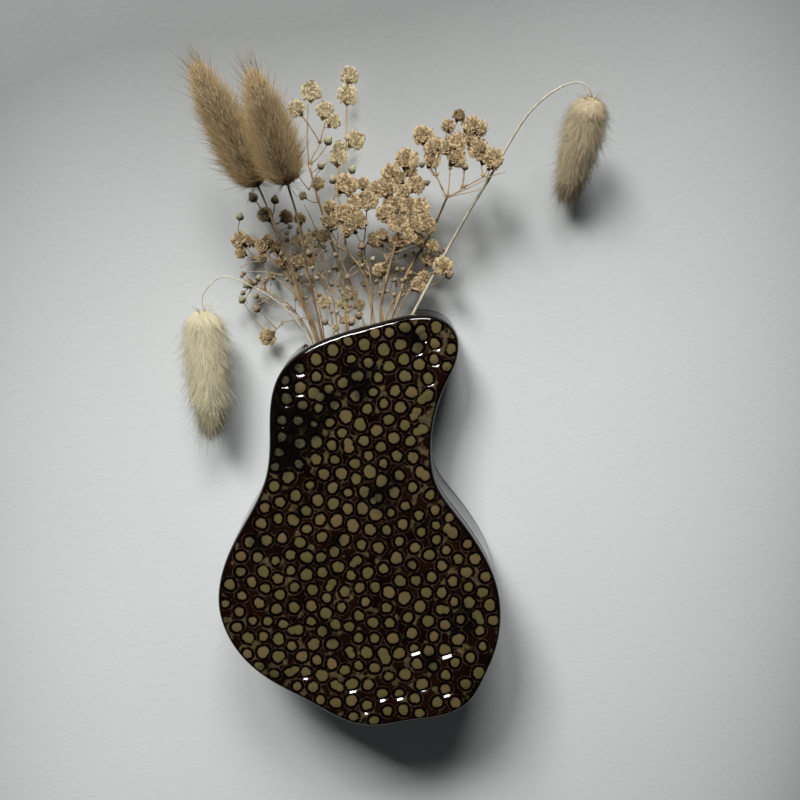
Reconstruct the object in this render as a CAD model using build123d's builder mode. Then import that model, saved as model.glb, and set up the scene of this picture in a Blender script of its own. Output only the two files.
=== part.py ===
from build123d import *
import math
import os

os.makedirs("parts", exist_ok=True)

# Frame: origin on the axis of the hang hole, in the plane of the wall.
# +X to the right seen from the front, +Y into the wall, +Z up. Millimetres.

# ---- vase body ----
TOP_Z = 43.24  # highest point of the outline
DEPTH_TOP = 18.5  # from the wall to the front face at the top
FRONT_TILT = 9.0  # the front face leans out from the wall towards the bottom, degrees
FRONT_T = 5.0  # front slab thickness
BACK_T = 4.5  # back slab thickness
WALL_T = 5.0  # wall strip thickness
FRONT_EDGE_R = 1.8  # softened front edge
HOLE_R = 4.0  # hang hole
SEAM_X = 4.0  # where the two wall strips meet at the bottom
RIM_DROP = 4.0  # the back slab stops this far below the front rim in the mouth

# Outline of the slabs, seen from the front (X, Z), clockwise from the mouth's left end
OUTLINE = [
    (-22.99, 29.52), (-11.70, 34.96), (6.38, 40.19), (21.01, 43.13), (29.72, 41.81),
    (35.42, 36.53), (36.33, 29.25), (31.61, 17.01), (27.45, 4.54), (26.34, -9.13),
    (28.27, -19.75), (35.65, -31.17), (45.72, -45.50), (51.25, -57.47), (53.31, -69.80),
    (52.00, -82.10), (47.01, -95.26), (40.73, -105.03), (32.85, -109.49), (18.15, -111.97),
    (3.50, -114.09), (-6.67, -112.04), (-20.62, -104.57), (-35.63, -96.40), (-45.35, -88.56),
    (-52.22, -78.66), (-55.45, -67.96), (-54.70, -56.65), (-50.15, -44.10), (-41.74, -29.11),
    (-36.75, -17.28), (-35.19, -3.48), (-34.21, 12.77), (-30.66, 22.03),
]  # fmt: skip
# Ends of the mouth: where the wall strips stop, each as (on the outline, inside it)
MOUTH_LEFT = ((-26.2, 33.6), (-19.2, 22.4))
MOUTH_RIGHT = ((20.9, 47.0), (19.6, 35.0))

# ---- stems ----
GRASS_R = 0.55  # upright grass stems
DROOP_R = 0.5  # drooping grass stems
SPRIG_R = 0.8  # main stem of a sprig
TWIG_R = 0.4  # its twigs
HEAD_BASE_R = 1.2  # flat foot of a grass head, round its stem
BEND_R = 12.0
DROOP_BEND_R = 5.5

TAN_LEFT_PATH = [(-5.8, -10.8, -11.5), (-17.9, -10.8, 32.7), (-21.4, -11.2, 43.5), (-26.0, -14.0, 59.7), (-30.7, -17.5, 73.9)]  # fmt: skip
TAN_LEFT_HEAD = ((-36.4, -21.3, 90.3), (-54.3, -31.0, 129.4))
TAN_RIGHT_PATH = [(-10.5, -9.3, -7.8), (-15.7, -9.3, 33.2), (-17.3, -11.0, 43.5), (-20.2, -16.0, 60.6), (-22.1, -21.5, 77.0)]  # fmt: skip
TAN_RIGHT_HEAD = ((-25.2, -26.3, 91.0), (-34.3, -37.0, 125.9))
TAN_HEAD_R = 7.3
PALE_LEFT_PATH = [(2.3, -12.3, -6.9), (-20.1, -12.3, 32.5), (-25.2, -12.4, 40.6), (-32.8, -13.0, 48.3), (-44.5, -14.0, 55.2), (-52.6, -14.0, 57.1), (-59.3, -14.0, 51.1)]  # fmt: skip
PALE_LEFT_HEAD = ((-60.0, -14.0, 44.3), (-59.2, -14.0, 1.7))
PALE_LEFT_HEAD_R = 6.9
PALE_RIGHT_PATH = [(-3.4, -9.3, -3.7), (19.9, -9.3, 43.6), (34.8, -12.5, 72.1), (46.3, -16.5, 92.4), (59.9, -21.5, 115.5), (73.8, -24.0, 125.0)]  # fmt: skip
PALE_RIGHT_HEAD = ((81.0, -24.0, 120.0), (77.2, -8.0, 89.4))
PALE_RIGHT_HEAD_R = 6.5

SPRIG_LOW_PATH = [(-14.5, -5.6, -21.5), (-17.6, -5.6, 32.1), (-20.8, -6.5, 40.5), (-24.8, -6.7, 48.7), (-26.0, -7.0, 59.0), (-29.5, -7.4, 67.3)]  # fmt: skip
SPRIG_LOW_TWIGS = [((-24.8, -6.7, 48.7), (-34.6, -6.8, 56.8)), ((-34.6, -6.8, 56.8), (-38.1, -7.1, 62.0)), ((-38.1, -7.1, 62.0), (-45.4, -7.4, 69.2)), ((-29.5, -7.4, 67.3), (-34.4, -7.8, 77.1)), ((-34.4, -7.8, 77.1), (-32.3, -8.2, 84.0)), ((-34.4, -7.8, 77.1), (-39.7, -8.2, 85.1)), ((-34.6, -6.8, 56.8), (-43.1, -6.5, 52.9)), ((-21.2, -6.6, 41.3), (-31.0, -5.8, 38.9)), ((-31.0, -5.8, 38.9), (-37.1, -5.6, 33.3)), ((-29.5, -7.4, 67.3), (-37.1, -7.4, 68.1))]  # fmt: skip
SPRIG_LOW_BLOOMS = [((-45.7, -7.5, 70.3), 3.0), ((-32.3, -8.2, 85.1), 1.9), ((-40.4, -8.3, 85.9), 2.2), ((-43.5, -6.6, 53.7), 2.4), ((-37.1, -5.5, 32.9), 3.0), ((-37.5, -7.4, 68.1), 2.6)]  # fmt: skip
SPRIG_TOP_PATH = [(-11.3, -5.6, -21.5), (-5.8, -5.6, 37.2), (-6.8, -4.6, 49.2), (-9.3, -6.5, 62.0), (-12.4, -8.1, 72.2), (-16.2, -8.0, 85.8), (-19.3, -8.0, 97.7)]  # fmt: skip
SPRIG_TOP_TWIGS = [((-19.3, -8.0, 97.7), (-19.1, -8.0, 120.7)), ((-19.3, -8.0, 97.7), (-15.0, -8.0, 105.5)), ((-15.0, -8.0, 105.5), (-12.7, -8.0, 113.6)), ((-15.0, -8.0, 105.5), (-22.2, -10.6, 116.3)), ((-19.3, -8.0, 97.7), (-12.2, -7.9, 105.2)), ((-12.4, -8.1, 72.2), (-9.6, -6.5, 88.7)), ((-9.6, -6.5, 88.7), (-8.4, -4.9, 99.6)), ((-9.6, -6.5, 88.7), (-5.8, -3.7, 103.2)), ((-5.8, -3.7, 103.2), (-5.2, -3.7, 121.0)), ((-5.8, -3.7, 103.2), (-3.1, -3.7, 106.1)), ((-5.2, -3.7, 119.6), (-4.0, -3.7, 128.0))]  # fmt: skip
SPRIG_TOP_BLOOMS = [((-17.9, -8.0, 123.4), 3.3), ((-22.9, -10.9, 117.3), 2.8), ((-13.0, -8.0, 116.8), 3.0), ((-12.1, -7.9, 106.2), 1.9), ((-8.7, -5.3, 100.3), 3.0), ((-2.4, -3.7, 106.8), 3.2), ((-5.1, -3.7, 122.7), 3.3), ((-4.0, -3.7, 129.3), 3.0)]  # fmt: skip
SPRIG_MID_LEFT_PATH = [(8.1, -7.6, -20.8), (4.3, -7.6, 39.1), (3.2, -7.8, 46.5), (0.3, -9.4, 58.5), (-5.4, -12.0, 67.0), (-6.2, -15.0, 76.3)]  # fmt: skip
SPRIG_MID_LEFT_TWIGS = [((-6.2, -15.0, 76.3), (-8.3, -15.5, 86.7)), ((-8.3, -15.5, 86.7), (-5.3, -15.8, 89.9)), ((-8.3, -15.5, 86.7), (-9.6, -15.5, 91.7)), ((-6.2, -15.0, 76.3), (-4.0, -16.0, 78.9)), ((-5.4, -12.0, 67.0), (-10.9, -13.5, 69.6)), ((-10.9, -13.5, 69.6), (-11.8, -14.5, 76.6)), ((0.3, -9.4, 58.5), (-0.7, -11.0, 64.6)), ((-0.7, -11.0, 64.6), (1.8, -14.0, 75.9)), ((1.8, -14.0, 75.9), (2.4, -17.0, 84.2)), ((-8.3, -15.5, 86.7), (-3.0, -15.5, 95.2))]  # fmt: skip
SPRIG_MID_LEFT_BLOOMS = [((-5.2, -16.0, 90.6), 3.5), ((-10.0, -15.5, 92.4), 1.8), ((-3.6, -16.2, 79.6), 3.6), ((-11.8, -14.8, 77.7), 2.6), ((2.4, -17.6, 85.0), 3.4), ((-3.0, -15.5, 95.9), 1.7)]  # fmt: skip
SPRIG_MID_RIGHT_PATH = [(10.8, -7.6, -18.7), (7.0, -7.6, 39.5), (7.1, -8.6, 46.6), (9.5, -11.5, 56.5), (12.5, -14.5, 68.6), (14.0, -16.0, 75.2)]  # fmt: skip
SPRIG_MID_RIGHT_TWIGS = [((14.0, -16.0, 75.2), (13.6, -16.0, 82.4)), ((13.6, -16.0, 82.4), (9.6, -16.0, 88.8)), ((13.6, -16.0, 82.4), (15.8, -16.0, 93.1)), ((15.8, -16.0, 93.1), (16.9, -16.0, 98.3)), ((15.8, -16.0, 93.1), (11.1, -16.0, 94.5)), ((13.6, -16.0, 82.4), (19.4, -16.0, 89.5)), ((12.5, -14.5, 68.6), (21.0, -15.5, 75.2)), ((21.0, -15.5, 75.2), (21.7, -16.0, 81.0)), ((21.0, -15.5, 75.2), (23.9, -16.0, 76.0)), ((9.5, -11.5, 56.5), (6.5, -11.4, 58.7))]  # fmt: skip
SPRIG_MID_RIGHT_BLOOMS = [((9.3, -16.0, 89.5), 3.6), ((16.9, -16.0, 99.4), 3.7), ((11.1, -16.2, 94.8), 3.0), ((19.8, -16.0, 90.6), 3.2), ((13.3, -17.0, 83.2), 3.5), ((21.7, -16.0, 82.1), 3.5), ((24.3, -16.0, 76.3), 3.0), ((6.1, -11.3, 59.4), 2.0)]  # fmt: skip
SPRIG_RIGHT_PATH = [(13.8, -7.6, -20.8), (10.9, -7.6, 40.5), (13.6, -8.2, 47.7), (17.4, -9.2, 58.5), (23.3, -10.1, 68.6), (28.1, -10.9, 77.9), (31.1, -24.1, 86.6)]  # fmt: skip
SPRIG_RIGHT_TWIGS = [((31.1, -24.1, 86.6), (32.0, -24.1, 95.9)), ((32.0, -24.1, 95.9), (30.4, -24.1, 109.3)), ((32.0, -24.1, 95.9), (34.3, -24.0, 104.3)), ((30.4, -24.1, 106.0), (34.6, -24.1, 112.7)), ((31.1, -24.1, 86.6), (27.5, -24.0, 93.8)), ((27.5, -24.0, 93.8), (24.3, -23.9, 97.8)), ((24.3, -23.9, 97.8), (22.7, -23.9, 106.0)), ((27.5, -24.0, 93.8), (26.3, -23.9, 102.7)), ((31.1, -24.1, 86.6), (36.7, -24.0, 89.6)), ((36.7, -24.0, 89.6), (43.8, -23.6, 93.4)), ((43.8, -23.6, 93.4), (42.5, -23.4, 102.0)), ((43.8, -23.6, 93.4), (47.2, -23.4, 98.6)), ((36.7, -24.0, 89.6), (37.3, -23.9, 95.8)), ((17.4, -9.2, 58.5), (21.7, -6.0, 53.2)), ((34.3, -24.0, 104.3), (39.2, -24.0, 109.3))]  # fmt: skip
SPRIG_RIGHT_BLOOMS = [((22.5, -23.9, 107.3), 3.3), ((26.3, -23.9, 103.6), 3.3), ((31.1, -24.1, 110.7), 2.2), ((34.9, -24.1, 114.1), 2.3), ((39.5, -24.0, 110.4), 3.3), ((34.3, -24.0, 105.0), 3.2), ((42.1, -23.4, 102.9), 3.4), ((47.5, -23.4, 99.9), 3.1), ((37.3, -23.9, 96.9), 1.5), ((22.1, -6.0, 52.8), 2.4)]  # fmt: skip


# ---- shared planes and curves ----
tilt = math.radians(FRONT_TILT)
front_normal = Vector(0, -math.cos(tilt), math.sin(tilt))
front_plane = Plane(origin=(0, -DEPTH_TOP, TOP_Z), x_dir=(1, 0, 0), z_dir=front_normal)
inner_plane = front_plane.offset(-FRONT_T)

with BuildLine() as outer_curve:
    Spline(*OUTLINE, periodic=True)
outer_edge = outer_curve.edges()[0]

# The wall strips' inner face follows the outline one wall thickness inside it
inner_points = []
for step in range(56):
    at = step / 56
    here, along = outer_edge @ at, outer_edge % at
    inner_points.append((here.X + along.Y * WALL_T, here.Y - along.X * WALL_T))


def along(a, b, share):
    """The point that share of the way from a to b."""
    return Vector(a) + (Vector(b) - Vector(a)) * share


def into_head(path, head, before=0.05):
    """A grass stem's path, bent to the head's axis just before its base and run on into its middle."""
    return [*path, along(*head, -before), along(*head, 0.55)]


def head_plane(head, towards=(0, 1, 0)):
    """A plane with X along the head from its base to its tip."""
    axis = (Vector(head[1]) - Vector(head[0])).normalized()
    across = axis.cross(Vector(*towards)).normalized()
    return Plane(origin=head[0], x_dir=axis, z_dir=across.cross(axis))


def head_axis(head):
    """The head's own axis."""
    return Axis(head[0], (Vector(head[1]) - Vector(head[0])).normalized())


def head_length(head):
    """From base to tip."""
    return (Vector(head[1]) - Vector(head[0])).length


# ---- front slab ----
with BuildPart() as front_slab:
    with BuildSketch(Plane.XZ):
        with BuildLine():
            Spline(*OUTLINE, periodic=True)
        make_face()
    extrude(amount=70)
    split(bisect_by=front_plane, keep=Keep.BOTTOM)
    split(bisect_by=inner_plane, keep=Keep.TOP)
    fillet(front_slab.faces().sort_by(Axis.Y)[0].edges(), radius=FRONT_EDGE_R)
front_slab.part.label = "front_slab"
export_step(front_slab.part, "parts/front_slab.step")

# ---- wall strips ----
with BuildPart() as left_wall:
    with BuildSketch(Plane.XZ.offset(BACK_T)):
        with BuildLine():
            Spline(*OUTLINE, periodic=True)
        make_face()
        with BuildLine():
            Spline(*inner_points, periodic=True)
        make_face(mode=Mode.SUBTRACT)
    extrude(amount=70)
    split(bisect_by=inner_plane, keep=Keep.BOTTOM)
    with BuildSketch(Plane.XZ):
        with BuildLine():
            Polyline(MOUTH_LEFT[0], MOUTH_LEFT[1], MOUTH_RIGHT[1], MOUTH_RIGHT[0], close=True)
        make_face()
    extrude(amount=70, mode=Mode.SUBTRACT)
    split(bisect_by=Plane.YZ.offset(SEAM_X), keep=Keep.BOTTOM)
left_wall.part.label = "left_wall"
export_step(left_wall.part, "parts/left_wall.step")

with BuildPart() as right_wall:
    with BuildSketch(Plane.XZ.offset(BACK_T)):
        with BuildLine():
            Spline(*OUTLINE, periodic=True)
        make_face()
        with BuildLine():
            Spline(*inner_points, periodic=True)
        make_face(mode=Mode.SUBTRACT)
    extrude(amount=70)
    split(bisect_by=inner_plane, keep=Keep.BOTTOM)
    with BuildSketch(Plane.XZ):
        with BuildLine():
            Polyline(MOUTH_LEFT[0], MOUTH_LEFT[1], MOUTH_RIGHT[1], MOUTH_RIGHT[0], close=True)
        make_face()
    extrude(amount=70, mode=Mode.SUBTRACT)
    split(bisect_by=Plane.YZ.offset(SEAM_X), keep=Keep.TOP)
right_wall.part.label = "right_wall"
export_step(right_wall.part, "parts/right_wall.step")

# ---- back slab, cut lower in the mouth and pierced for hanging ----
with BuildPart() as back_slab:
    with BuildSketch(Plane.XZ):
        with BuildLine():
            Spline(*OUTLINE, periodic=True)
        make_face()
        with BuildLine():
            Polyline(
                (-21.0, 60),
                (-21.0, 30.6 - RIM_DROP),
                (-11.7, 34.9 - RIM_DROP),
                (6.4, 40.1 - RIM_DROP),
                (19.0, 42.7 - RIM_DROP),
                (19.0, 60),
                close=True,
            )
        make_face(mode=Mode.SUBTRACT)
        Circle(HOLE_R, mode=Mode.SUBTRACT)
    extrude(amount=BACK_T)
back_slab.part.label = "back_slab"
export_step(back_slab.part, "parts/back_slab.step")

# ---- bunny tail grasses ----
with BuildPart() as tan_left_stem:
    with BuildLine() as tan_left_line:
        FilletPolyline(*into_head(TAN_LEFT_PATH, TAN_LEFT_HEAD), radius=BEND_R)
    with BuildSketch(Plane(origin=tan_left_line.line @ 0, z_dir=tan_left_line.line % 0)):
        Circle(GRASS_R)
    sweep()
tan_left_stem.part.label = "tan_left_stem"
export_step(tan_left_stem.part, "parts/tan_left_stem.step")

with BuildPart() as tan_left_head:
    with BuildSketch(head_plane(TAN_LEFT_HEAD, (0.6, 0.8, 0))):
        with BuildLine():
            long = head_length(TAN_LEFT_HEAD)
            Line((0, 0), (0, HEAD_BASE_R))
            Spline((0, HEAD_BASE_R), (0.45 * long, TAN_HEAD_R), tangents=((0.4, 1), (1, 0)))
            EllipticalCenterArc((0.45 * long, 0), 0.55 * long, TAN_HEAD_R, 0, arc_size=90)
            Line((0, 0), (long, 0))
        make_face()
    revolve(axis=head_axis(TAN_LEFT_HEAD))
    add(tan_left_stem.part, mode=Mode.SUBTRACT)
tan_left_head.part.label = "tan_left_head"
export_step(tan_left_head.part, "parts/tan_left_head.step")

with BuildPart() as tan_right_stem:
    with BuildLine() as tan_right_line:
        FilletPolyline(*into_head(TAN_RIGHT_PATH, TAN_RIGHT_HEAD), radius=BEND_R)
    with BuildSketch(Plane(origin=tan_right_line.line @ 0, z_dir=tan_right_line.line % 0)):
        Circle(GRASS_R)
    sweep()
tan_right_stem.part.label = "tan_right_stem"
export_step(tan_right_stem.part, "parts/tan_right_stem.step")

with BuildPart() as tan_right_head:
    with BuildSketch(head_plane(TAN_RIGHT_HEAD)):
        with BuildLine():
            long = head_length(TAN_RIGHT_HEAD)
            Line((0, 0), (0, HEAD_BASE_R))
            Spline((0, HEAD_BASE_R), (0.45 * long, TAN_HEAD_R), tangents=((0.4, 1), (1, 0)))
            EllipticalCenterArc((0.45 * long, 0), 0.55 * long, TAN_HEAD_R, 0, arc_size=90)
            Line((0, 0), (long, 0))
        make_face()
    revolve(axis=head_axis(TAN_RIGHT_HEAD))
    add(tan_right_stem.part, mode=Mode.SUBTRACT)
tan_right_head.part.label = "tan_right_head"
export_step(tan_right_head.part, "parts/tan_right_head.step")

with BuildPart() as pale_left_stem:
    with BuildLine() as pale_left_line:
        FilletPolyline(*into_head(PALE_LEFT_PATH, PALE_LEFT_HEAD), radius=DROOP_BEND_R)
    with BuildSketch(Plane(origin=pale_left_line.line @ 0, z_dir=pale_left_line.line % 0)):
        Circle(DROOP_R)
    sweep()
pale_left_stem.part.label = "pale_left_stem"
export_step(pale_left_stem.part, "parts/pale_left_stem.step")

with BuildPart() as pale_left_head:
    with BuildSketch(head_plane(PALE_LEFT_HEAD)):
        with BuildLine():
            long = head_length(PALE_LEFT_HEAD)
            Line((0, 0), (0, HEAD_BASE_R))
            Spline((0, HEAD_BASE_R), (0.45 * long, PALE_LEFT_HEAD_R), tangents=((0.4, 1), (1, 0)))
            EllipticalCenterArc((0.45 * long, 0), 0.55 * long, PALE_LEFT_HEAD_R, 0, arc_size=90)
            Line((0, 0), (long, 0))
        make_face()
    revolve(axis=head_axis(PALE_LEFT_HEAD))
    add(pale_left_stem.part, mode=Mode.SUBTRACT)
pale_left_head.part.label = "pale_left_head"
export_step(pale_left_head.part, "parts/pale_left_head.step")

with BuildPart() as pale_right_stem:
    with BuildLine() as pale_right_line:
        FilletPolyline(*into_head(PALE_RIGHT_PATH, PALE_RIGHT_HEAD, 0), radius=DROOP_BEND_R)
    with BuildSketch(Plane(origin=pale_right_line.line @ 0, z_dir=pale_right_line.line % 0)):
        Circle(DROOP_R)
    sweep()
pale_right_stem.part.label = "pale_right_stem"
export_step(pale_right_stem.part, "parts/pale_right_stem.step")

with BuildPart() as pale_right_head:
    with BuildSketch(head_plane(PALE_RIGHT_HEAD)):
        with BuildLine():
            long = head_length(PALE_RIGHT_HEAD)
            Line((0, 0), (0, HEAD_BASE_R))
            Spline((0, HEAD_BASE_R), (0.45 * long, PALE_RIGHT_HEAD_R), tangents=((0.4, 1), (1, 0)))
            EllipticalCenterArc((0.45 * long, 0), 0.55 * long, PALE_RIGHT_HEAD_R, 0, arc_size=90)
            Line((0, 0), (long, 0))
        make_face()
    revolve(axis=head_axis(PALE_RIGHT_HEAD))
    add(pale_right_stem.part, mode=Mode.SUBTRACT)
pale_right_head.part.label = "pale_right_head"
export_step(pale_right_head.part, "parts/pale_right_head.step")

# ---- gypsophila sprigs: a bent main stem with straight twigs, and round blooms on the twigs' ends ----
with BuildPart() as sprig_low_stems:
    with BuildLine() as sprig_low_line:
        FilletPolyline(*SPRIG_LOW_PATH, radius=BEND_R)
    with BuildSketch(Plane(origin=sprig_low_line.line @ 0, z_dir=sprig_low_line.line % 0)):
        Circle(SPRIG_R)
    sweep()
    for a, b in SPRIG_LOW_TWIGS:
        with BuildSketch(Plane(origin=a, z_dir=Vector(b) - Vector(a))):
            Circle(TWIG_R)
        extrude(amount=(Vector(b) - Vector(a)).length)
        with Locations(a):
            Sphere(TWIG_R * 1.15)
sprig_low_stems.part.label = "sprig_low_stems"
export_step(sprig_low_stems.part, "parts/sprig_low_stems.step")

with BuildPart() as sprig_low_blooms:
    for centre, radius in SPRIG_LOW_BLOOMS:
        with Locations(centre):
            Sphere(radius, rotation=(90, 0, 90))
    add(sprig_low_stems.part, mode=Mode.SUBTRACT)
sprig_low_blooms.part.label = "sprig_low_blooms"
export_step(sprig_low_blooms.part, "parts/sprig_low_blooms.step")

with BuildPart() as sprig_top_stems:
    with BuildLine() as sprig_top_line:
        FilletPolyline(*SPRIG_TOP_PATH, radius=BEND_R)
    with BuildSketch(Plane(origin=sprig_top_line.line @ 0, z_dir=sprig_top_line.line % 0)):
        Circle(SPRIG_R)
    sweep()
    for a, b in SPRIG_TOP_TWIGS:
        with BuildSketch(Plane(origin=a, z_dir=Vector(b) - Vector(a))):
            Circle(TWIG_R)
        extrude(amount=(Vector(b) - Vector(a)).length)
        with Locations(a):
            Sphere(TWIG_R * 1.15)
sprig_top_stems.part.label = "sprig_top_stems"
export_step(sprig_top_stems.part, "parts/sprig_top_stems.step")

with BuildPart() as sprig_top_blooms:
    for centre, radius in SPRIG_TOP_BLOOMS:
        with Locations(centre):
            Sphere(radius, rotation=(90, 0, 90))
    add(sprig_top_stems.part, mode=Mode.SUBTRACT)
sprig_top_blooms.part.label = "sprig_top_blooms"
export_step(sprig_top_blooms.part, "parts/sprig_top_blooms.step")

with BuildPart() as sprig_mid_left_stems:
    with BuildLine() as sprig_mid_left_line:
        FilletPolyline(*SPRIG_MID_LEFT_PATH, radius=BEND_R)
    with BuildSketch(Plane(origin=sprig_mid_left_line.line @ 0, z_dir=sprig_mid_left_line.line % 0)):
        Circle(SPRIG_R)
    sweep()
    for a, b in SPRIG_MID_LEFT_TWIGS:
        with BuildSketch(Plane(origin=a, z_dir=Vector(b) - Vector(a))):
            Circle(TWIG_R)
        extrude(amount=(Vector(b) - Vector(a)).length)
        with Locations(a):
            Sphere(TWIG_R * 1.15)
sprig_mid_left_stems.part.label = "sprig_mid_left_stems"
export_step(sprig_mid_left_stems.part, "parts/sprig_mid_left_stems.step")

with BuildPart() as sprig_mid_left_blooms:
    for centre, radius in SPRIG_MID_LEFT_BLOOMS:
        with Locations(centre):
            Sphere(radius, rotation=(90, 0, 90))
    add(sprig_mid_left_stems.part, mode=Mode.SUBTRACT)
sprig_mid_left_blooms.part.label = "sprig_mid_left_blooms"
export_step(sprig_mid_left_blooms.part, "parts/sprig_mid_left_blooms.step")

with BuildPart() as sprig_mid_right_stems:
    with BuildLine() as sprig_mid_right_line:
        FilletPolyline(*SPRIG_MID_RIGHT_PATH, radius=BEND_R)
    with BuildSketch(Plane(origin=sprig_mid_right_line.line @ 0, z_dir=sprig_mid_right_line.line % 0)):
        Circle(SPRIG_R)
    sweep()
    for a, b in SPRIG_MID_RIGHT_TWIGS:
        with BuildSketch(Plane(origin=a, z_dir=Vector(b) - Vector(a))):
            Circle(TWIG_R)
        extrude(amount=(Vector(b) - Vector(a)).length)
        with Locations(a):
            Sphere(TWIG_R * 1.15)
sprig_mid_right_stems.part.label = "sprig_mid_right_stems"
export_step(sprig_mid_right_stems.part, "parts/sprig_mid_right_stems.step")

with BuildPart() as sprig_mid_right_blooms:
    for centre, radius in SPRIG_MID_RIGHT_BLOOMS:
        with Locations(centre):
            Sphere(radius, rotation=(90, 0, 90))
    add(sprig_mid_right_stems.part, mode=Mode.SUBTRACT)
sprig_mid_right_blooms.part.label = "sprig_mid_right_blooms"
export_step(sprig_mid_right_blooms.part, "parts/sprig_mid_right_blooms.step")

with BuildPart() as sprig_right_stems:
    with BuildLine() as sprig_right_line:
        FilletPolyline(*SPRIG_RIGHT_PATH, radius=BEND_R)
    with BuildSketch(Plane(origin=sprig_right_line.line @ 0, z_dir=sprig_right_line.line % 0)):
        Circle(SPRIG_R)
    sweep()
    for a, b in SPRIG_RIGHT_TWIGS:
        with BuildSketch(Plane(origin=a, z_dir=Vector(b) - Vector(a))):
            Circle(TWIG_R)
        extrude(amount=(Vector(b) - Vector(a)).length)
        with Locations(a):
            Sphere(TWIG_R * 1.15)
sprig_right_stems.part.label = "sprig_right_stems"
export_step(sprig_right_stems.part, "parts/sprig_right_stems.step")

with BuildPart() as sprig_right_blooms:
    for centre, radius in SPRIG_RIGHT_BLOOMS:
        with Locations(centre):
            Sphere(radius, rotation=(90, 0, 90))
    add(sprig_right_stems.part, mode=Mode.SUBTRACT)
sprig_right_blooms.part.label = "sprig_right_blooms"
export_step(sprig_right_blooms.part, "parts/sprig_right_blooms.step")
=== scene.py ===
import math

import bpy
import numpy as np
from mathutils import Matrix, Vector, geometry


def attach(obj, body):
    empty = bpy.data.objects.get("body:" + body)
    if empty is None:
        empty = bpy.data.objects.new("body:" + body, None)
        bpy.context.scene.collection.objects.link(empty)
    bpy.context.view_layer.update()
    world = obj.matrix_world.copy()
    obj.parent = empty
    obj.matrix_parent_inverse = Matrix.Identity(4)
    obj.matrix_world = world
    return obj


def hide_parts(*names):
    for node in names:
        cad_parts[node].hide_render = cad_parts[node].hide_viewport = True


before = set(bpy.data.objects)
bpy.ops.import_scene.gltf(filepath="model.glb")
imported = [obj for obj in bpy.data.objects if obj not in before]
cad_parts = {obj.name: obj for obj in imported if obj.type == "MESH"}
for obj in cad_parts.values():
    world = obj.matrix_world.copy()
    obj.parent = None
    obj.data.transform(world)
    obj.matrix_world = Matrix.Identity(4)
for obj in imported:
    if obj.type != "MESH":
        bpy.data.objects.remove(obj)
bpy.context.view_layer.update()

# ------------------------------------------------------------------ numbers
# Millimetres in the CAD frame; meshes are written in metres.

TOP_Z = 43.24
DEPTH_TOP = 18.5
TILT = math.radians(9.0)
FRONT_T = 5.0
BACK_T = 4.5
WALL_T = 5.0
SEAM_X = 4.0

OUTLINE = [
    (-22.99, 29.52), (-11.70, 34.96), (6.38, 40.19), (21.01, 43.13), (29.72, 41.81),
    (35.42, 36.53), (36.33, 29.25), (31.61, 17.01), (27.45, 4.54), (26.34, -9.13),
    (28.27, -19.75), (35.65, -31.17), (45.72, -45.50), (51.25, -57.47), (53.31, -69.80),
    (52.00, -82.10), (47.01, -95.26), (40.73, -105.03), (32.85, -109.49), (18.15, -111.97),
    (3.50, -114.09), (-6.67, -112.04), (-20.62, -104.57), (-35.63, -96.40), (-45.35, -88.56),
    (-52.22, -78.66), (-55.45, -67.96), (-54.70, -56.65), (-50.15, -44.10), (-41.74, -29.11),
    (-36.75, -17.28), (-35.19, -3.48), (-34.21, 12.77), (-30.66, 22.03),
]

# The camera, which also turns a pixel of the 800 x 800 picture into a place at a known depth
CAM = np.array((14.3596, -352.0, 93.0760))
PITCH = math.radians(13.8564)
FOCAL = 900.0
CAM_F = np.array((0.0, math.cos(PITCH), -math.sin(PITCH)))
CAM_U = np.array((0.0, math.sin(PITCH), math.cos(PITCH)))
CAM_R = np.array((1.0, 0.0, 0.0))


def at_pixel(px, py, y):
    ray = CAM_F + CAM_R * (px - 400) / FOCAL + CAM_U * (400 - py) / FOCAL
    return CAM + ray * (y - CAM[1]) / ray[1]


def px_per_mm(point):
    return FOCAL / float((np.asarray(point) - CAM) @ CAM_F)


def y_front(z):
    return -(DEPTH_TOP + (TOP_Z - z) * math.tan(TILT))


# ------------------------------------------------------------------ small maths


def smooth(a, b, v):
    t = np.clip((np.asarray(v, float) - a) / (b - a), 0.0, 1.0)
    return t * t * (3 - 2 * t)


def field(p, wave, seed, terms=10):
    """A smooth random field of about unit spread over points p."""
    r = np.random.default_rng(seed)
    k = r.normal(size=(terms, p.shape[1]))
    k /= np.linalg.norm(k, axis=1)[:, None]
    k *= (2 * np.pi / wave) * r.uniform(0.6, 1.6, (terms, 1))
    return np.sin(p @ k.T + r.uniform(0, 2 * np.pi, terms)).sum(1) / math.sqrt(terms / 2)


def unit(v):
    v = np.asarray(v, float)
    return v / np.maximum(np.linalg.norm(v, axis=-1, keepdims=True), 1e-12)


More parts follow.
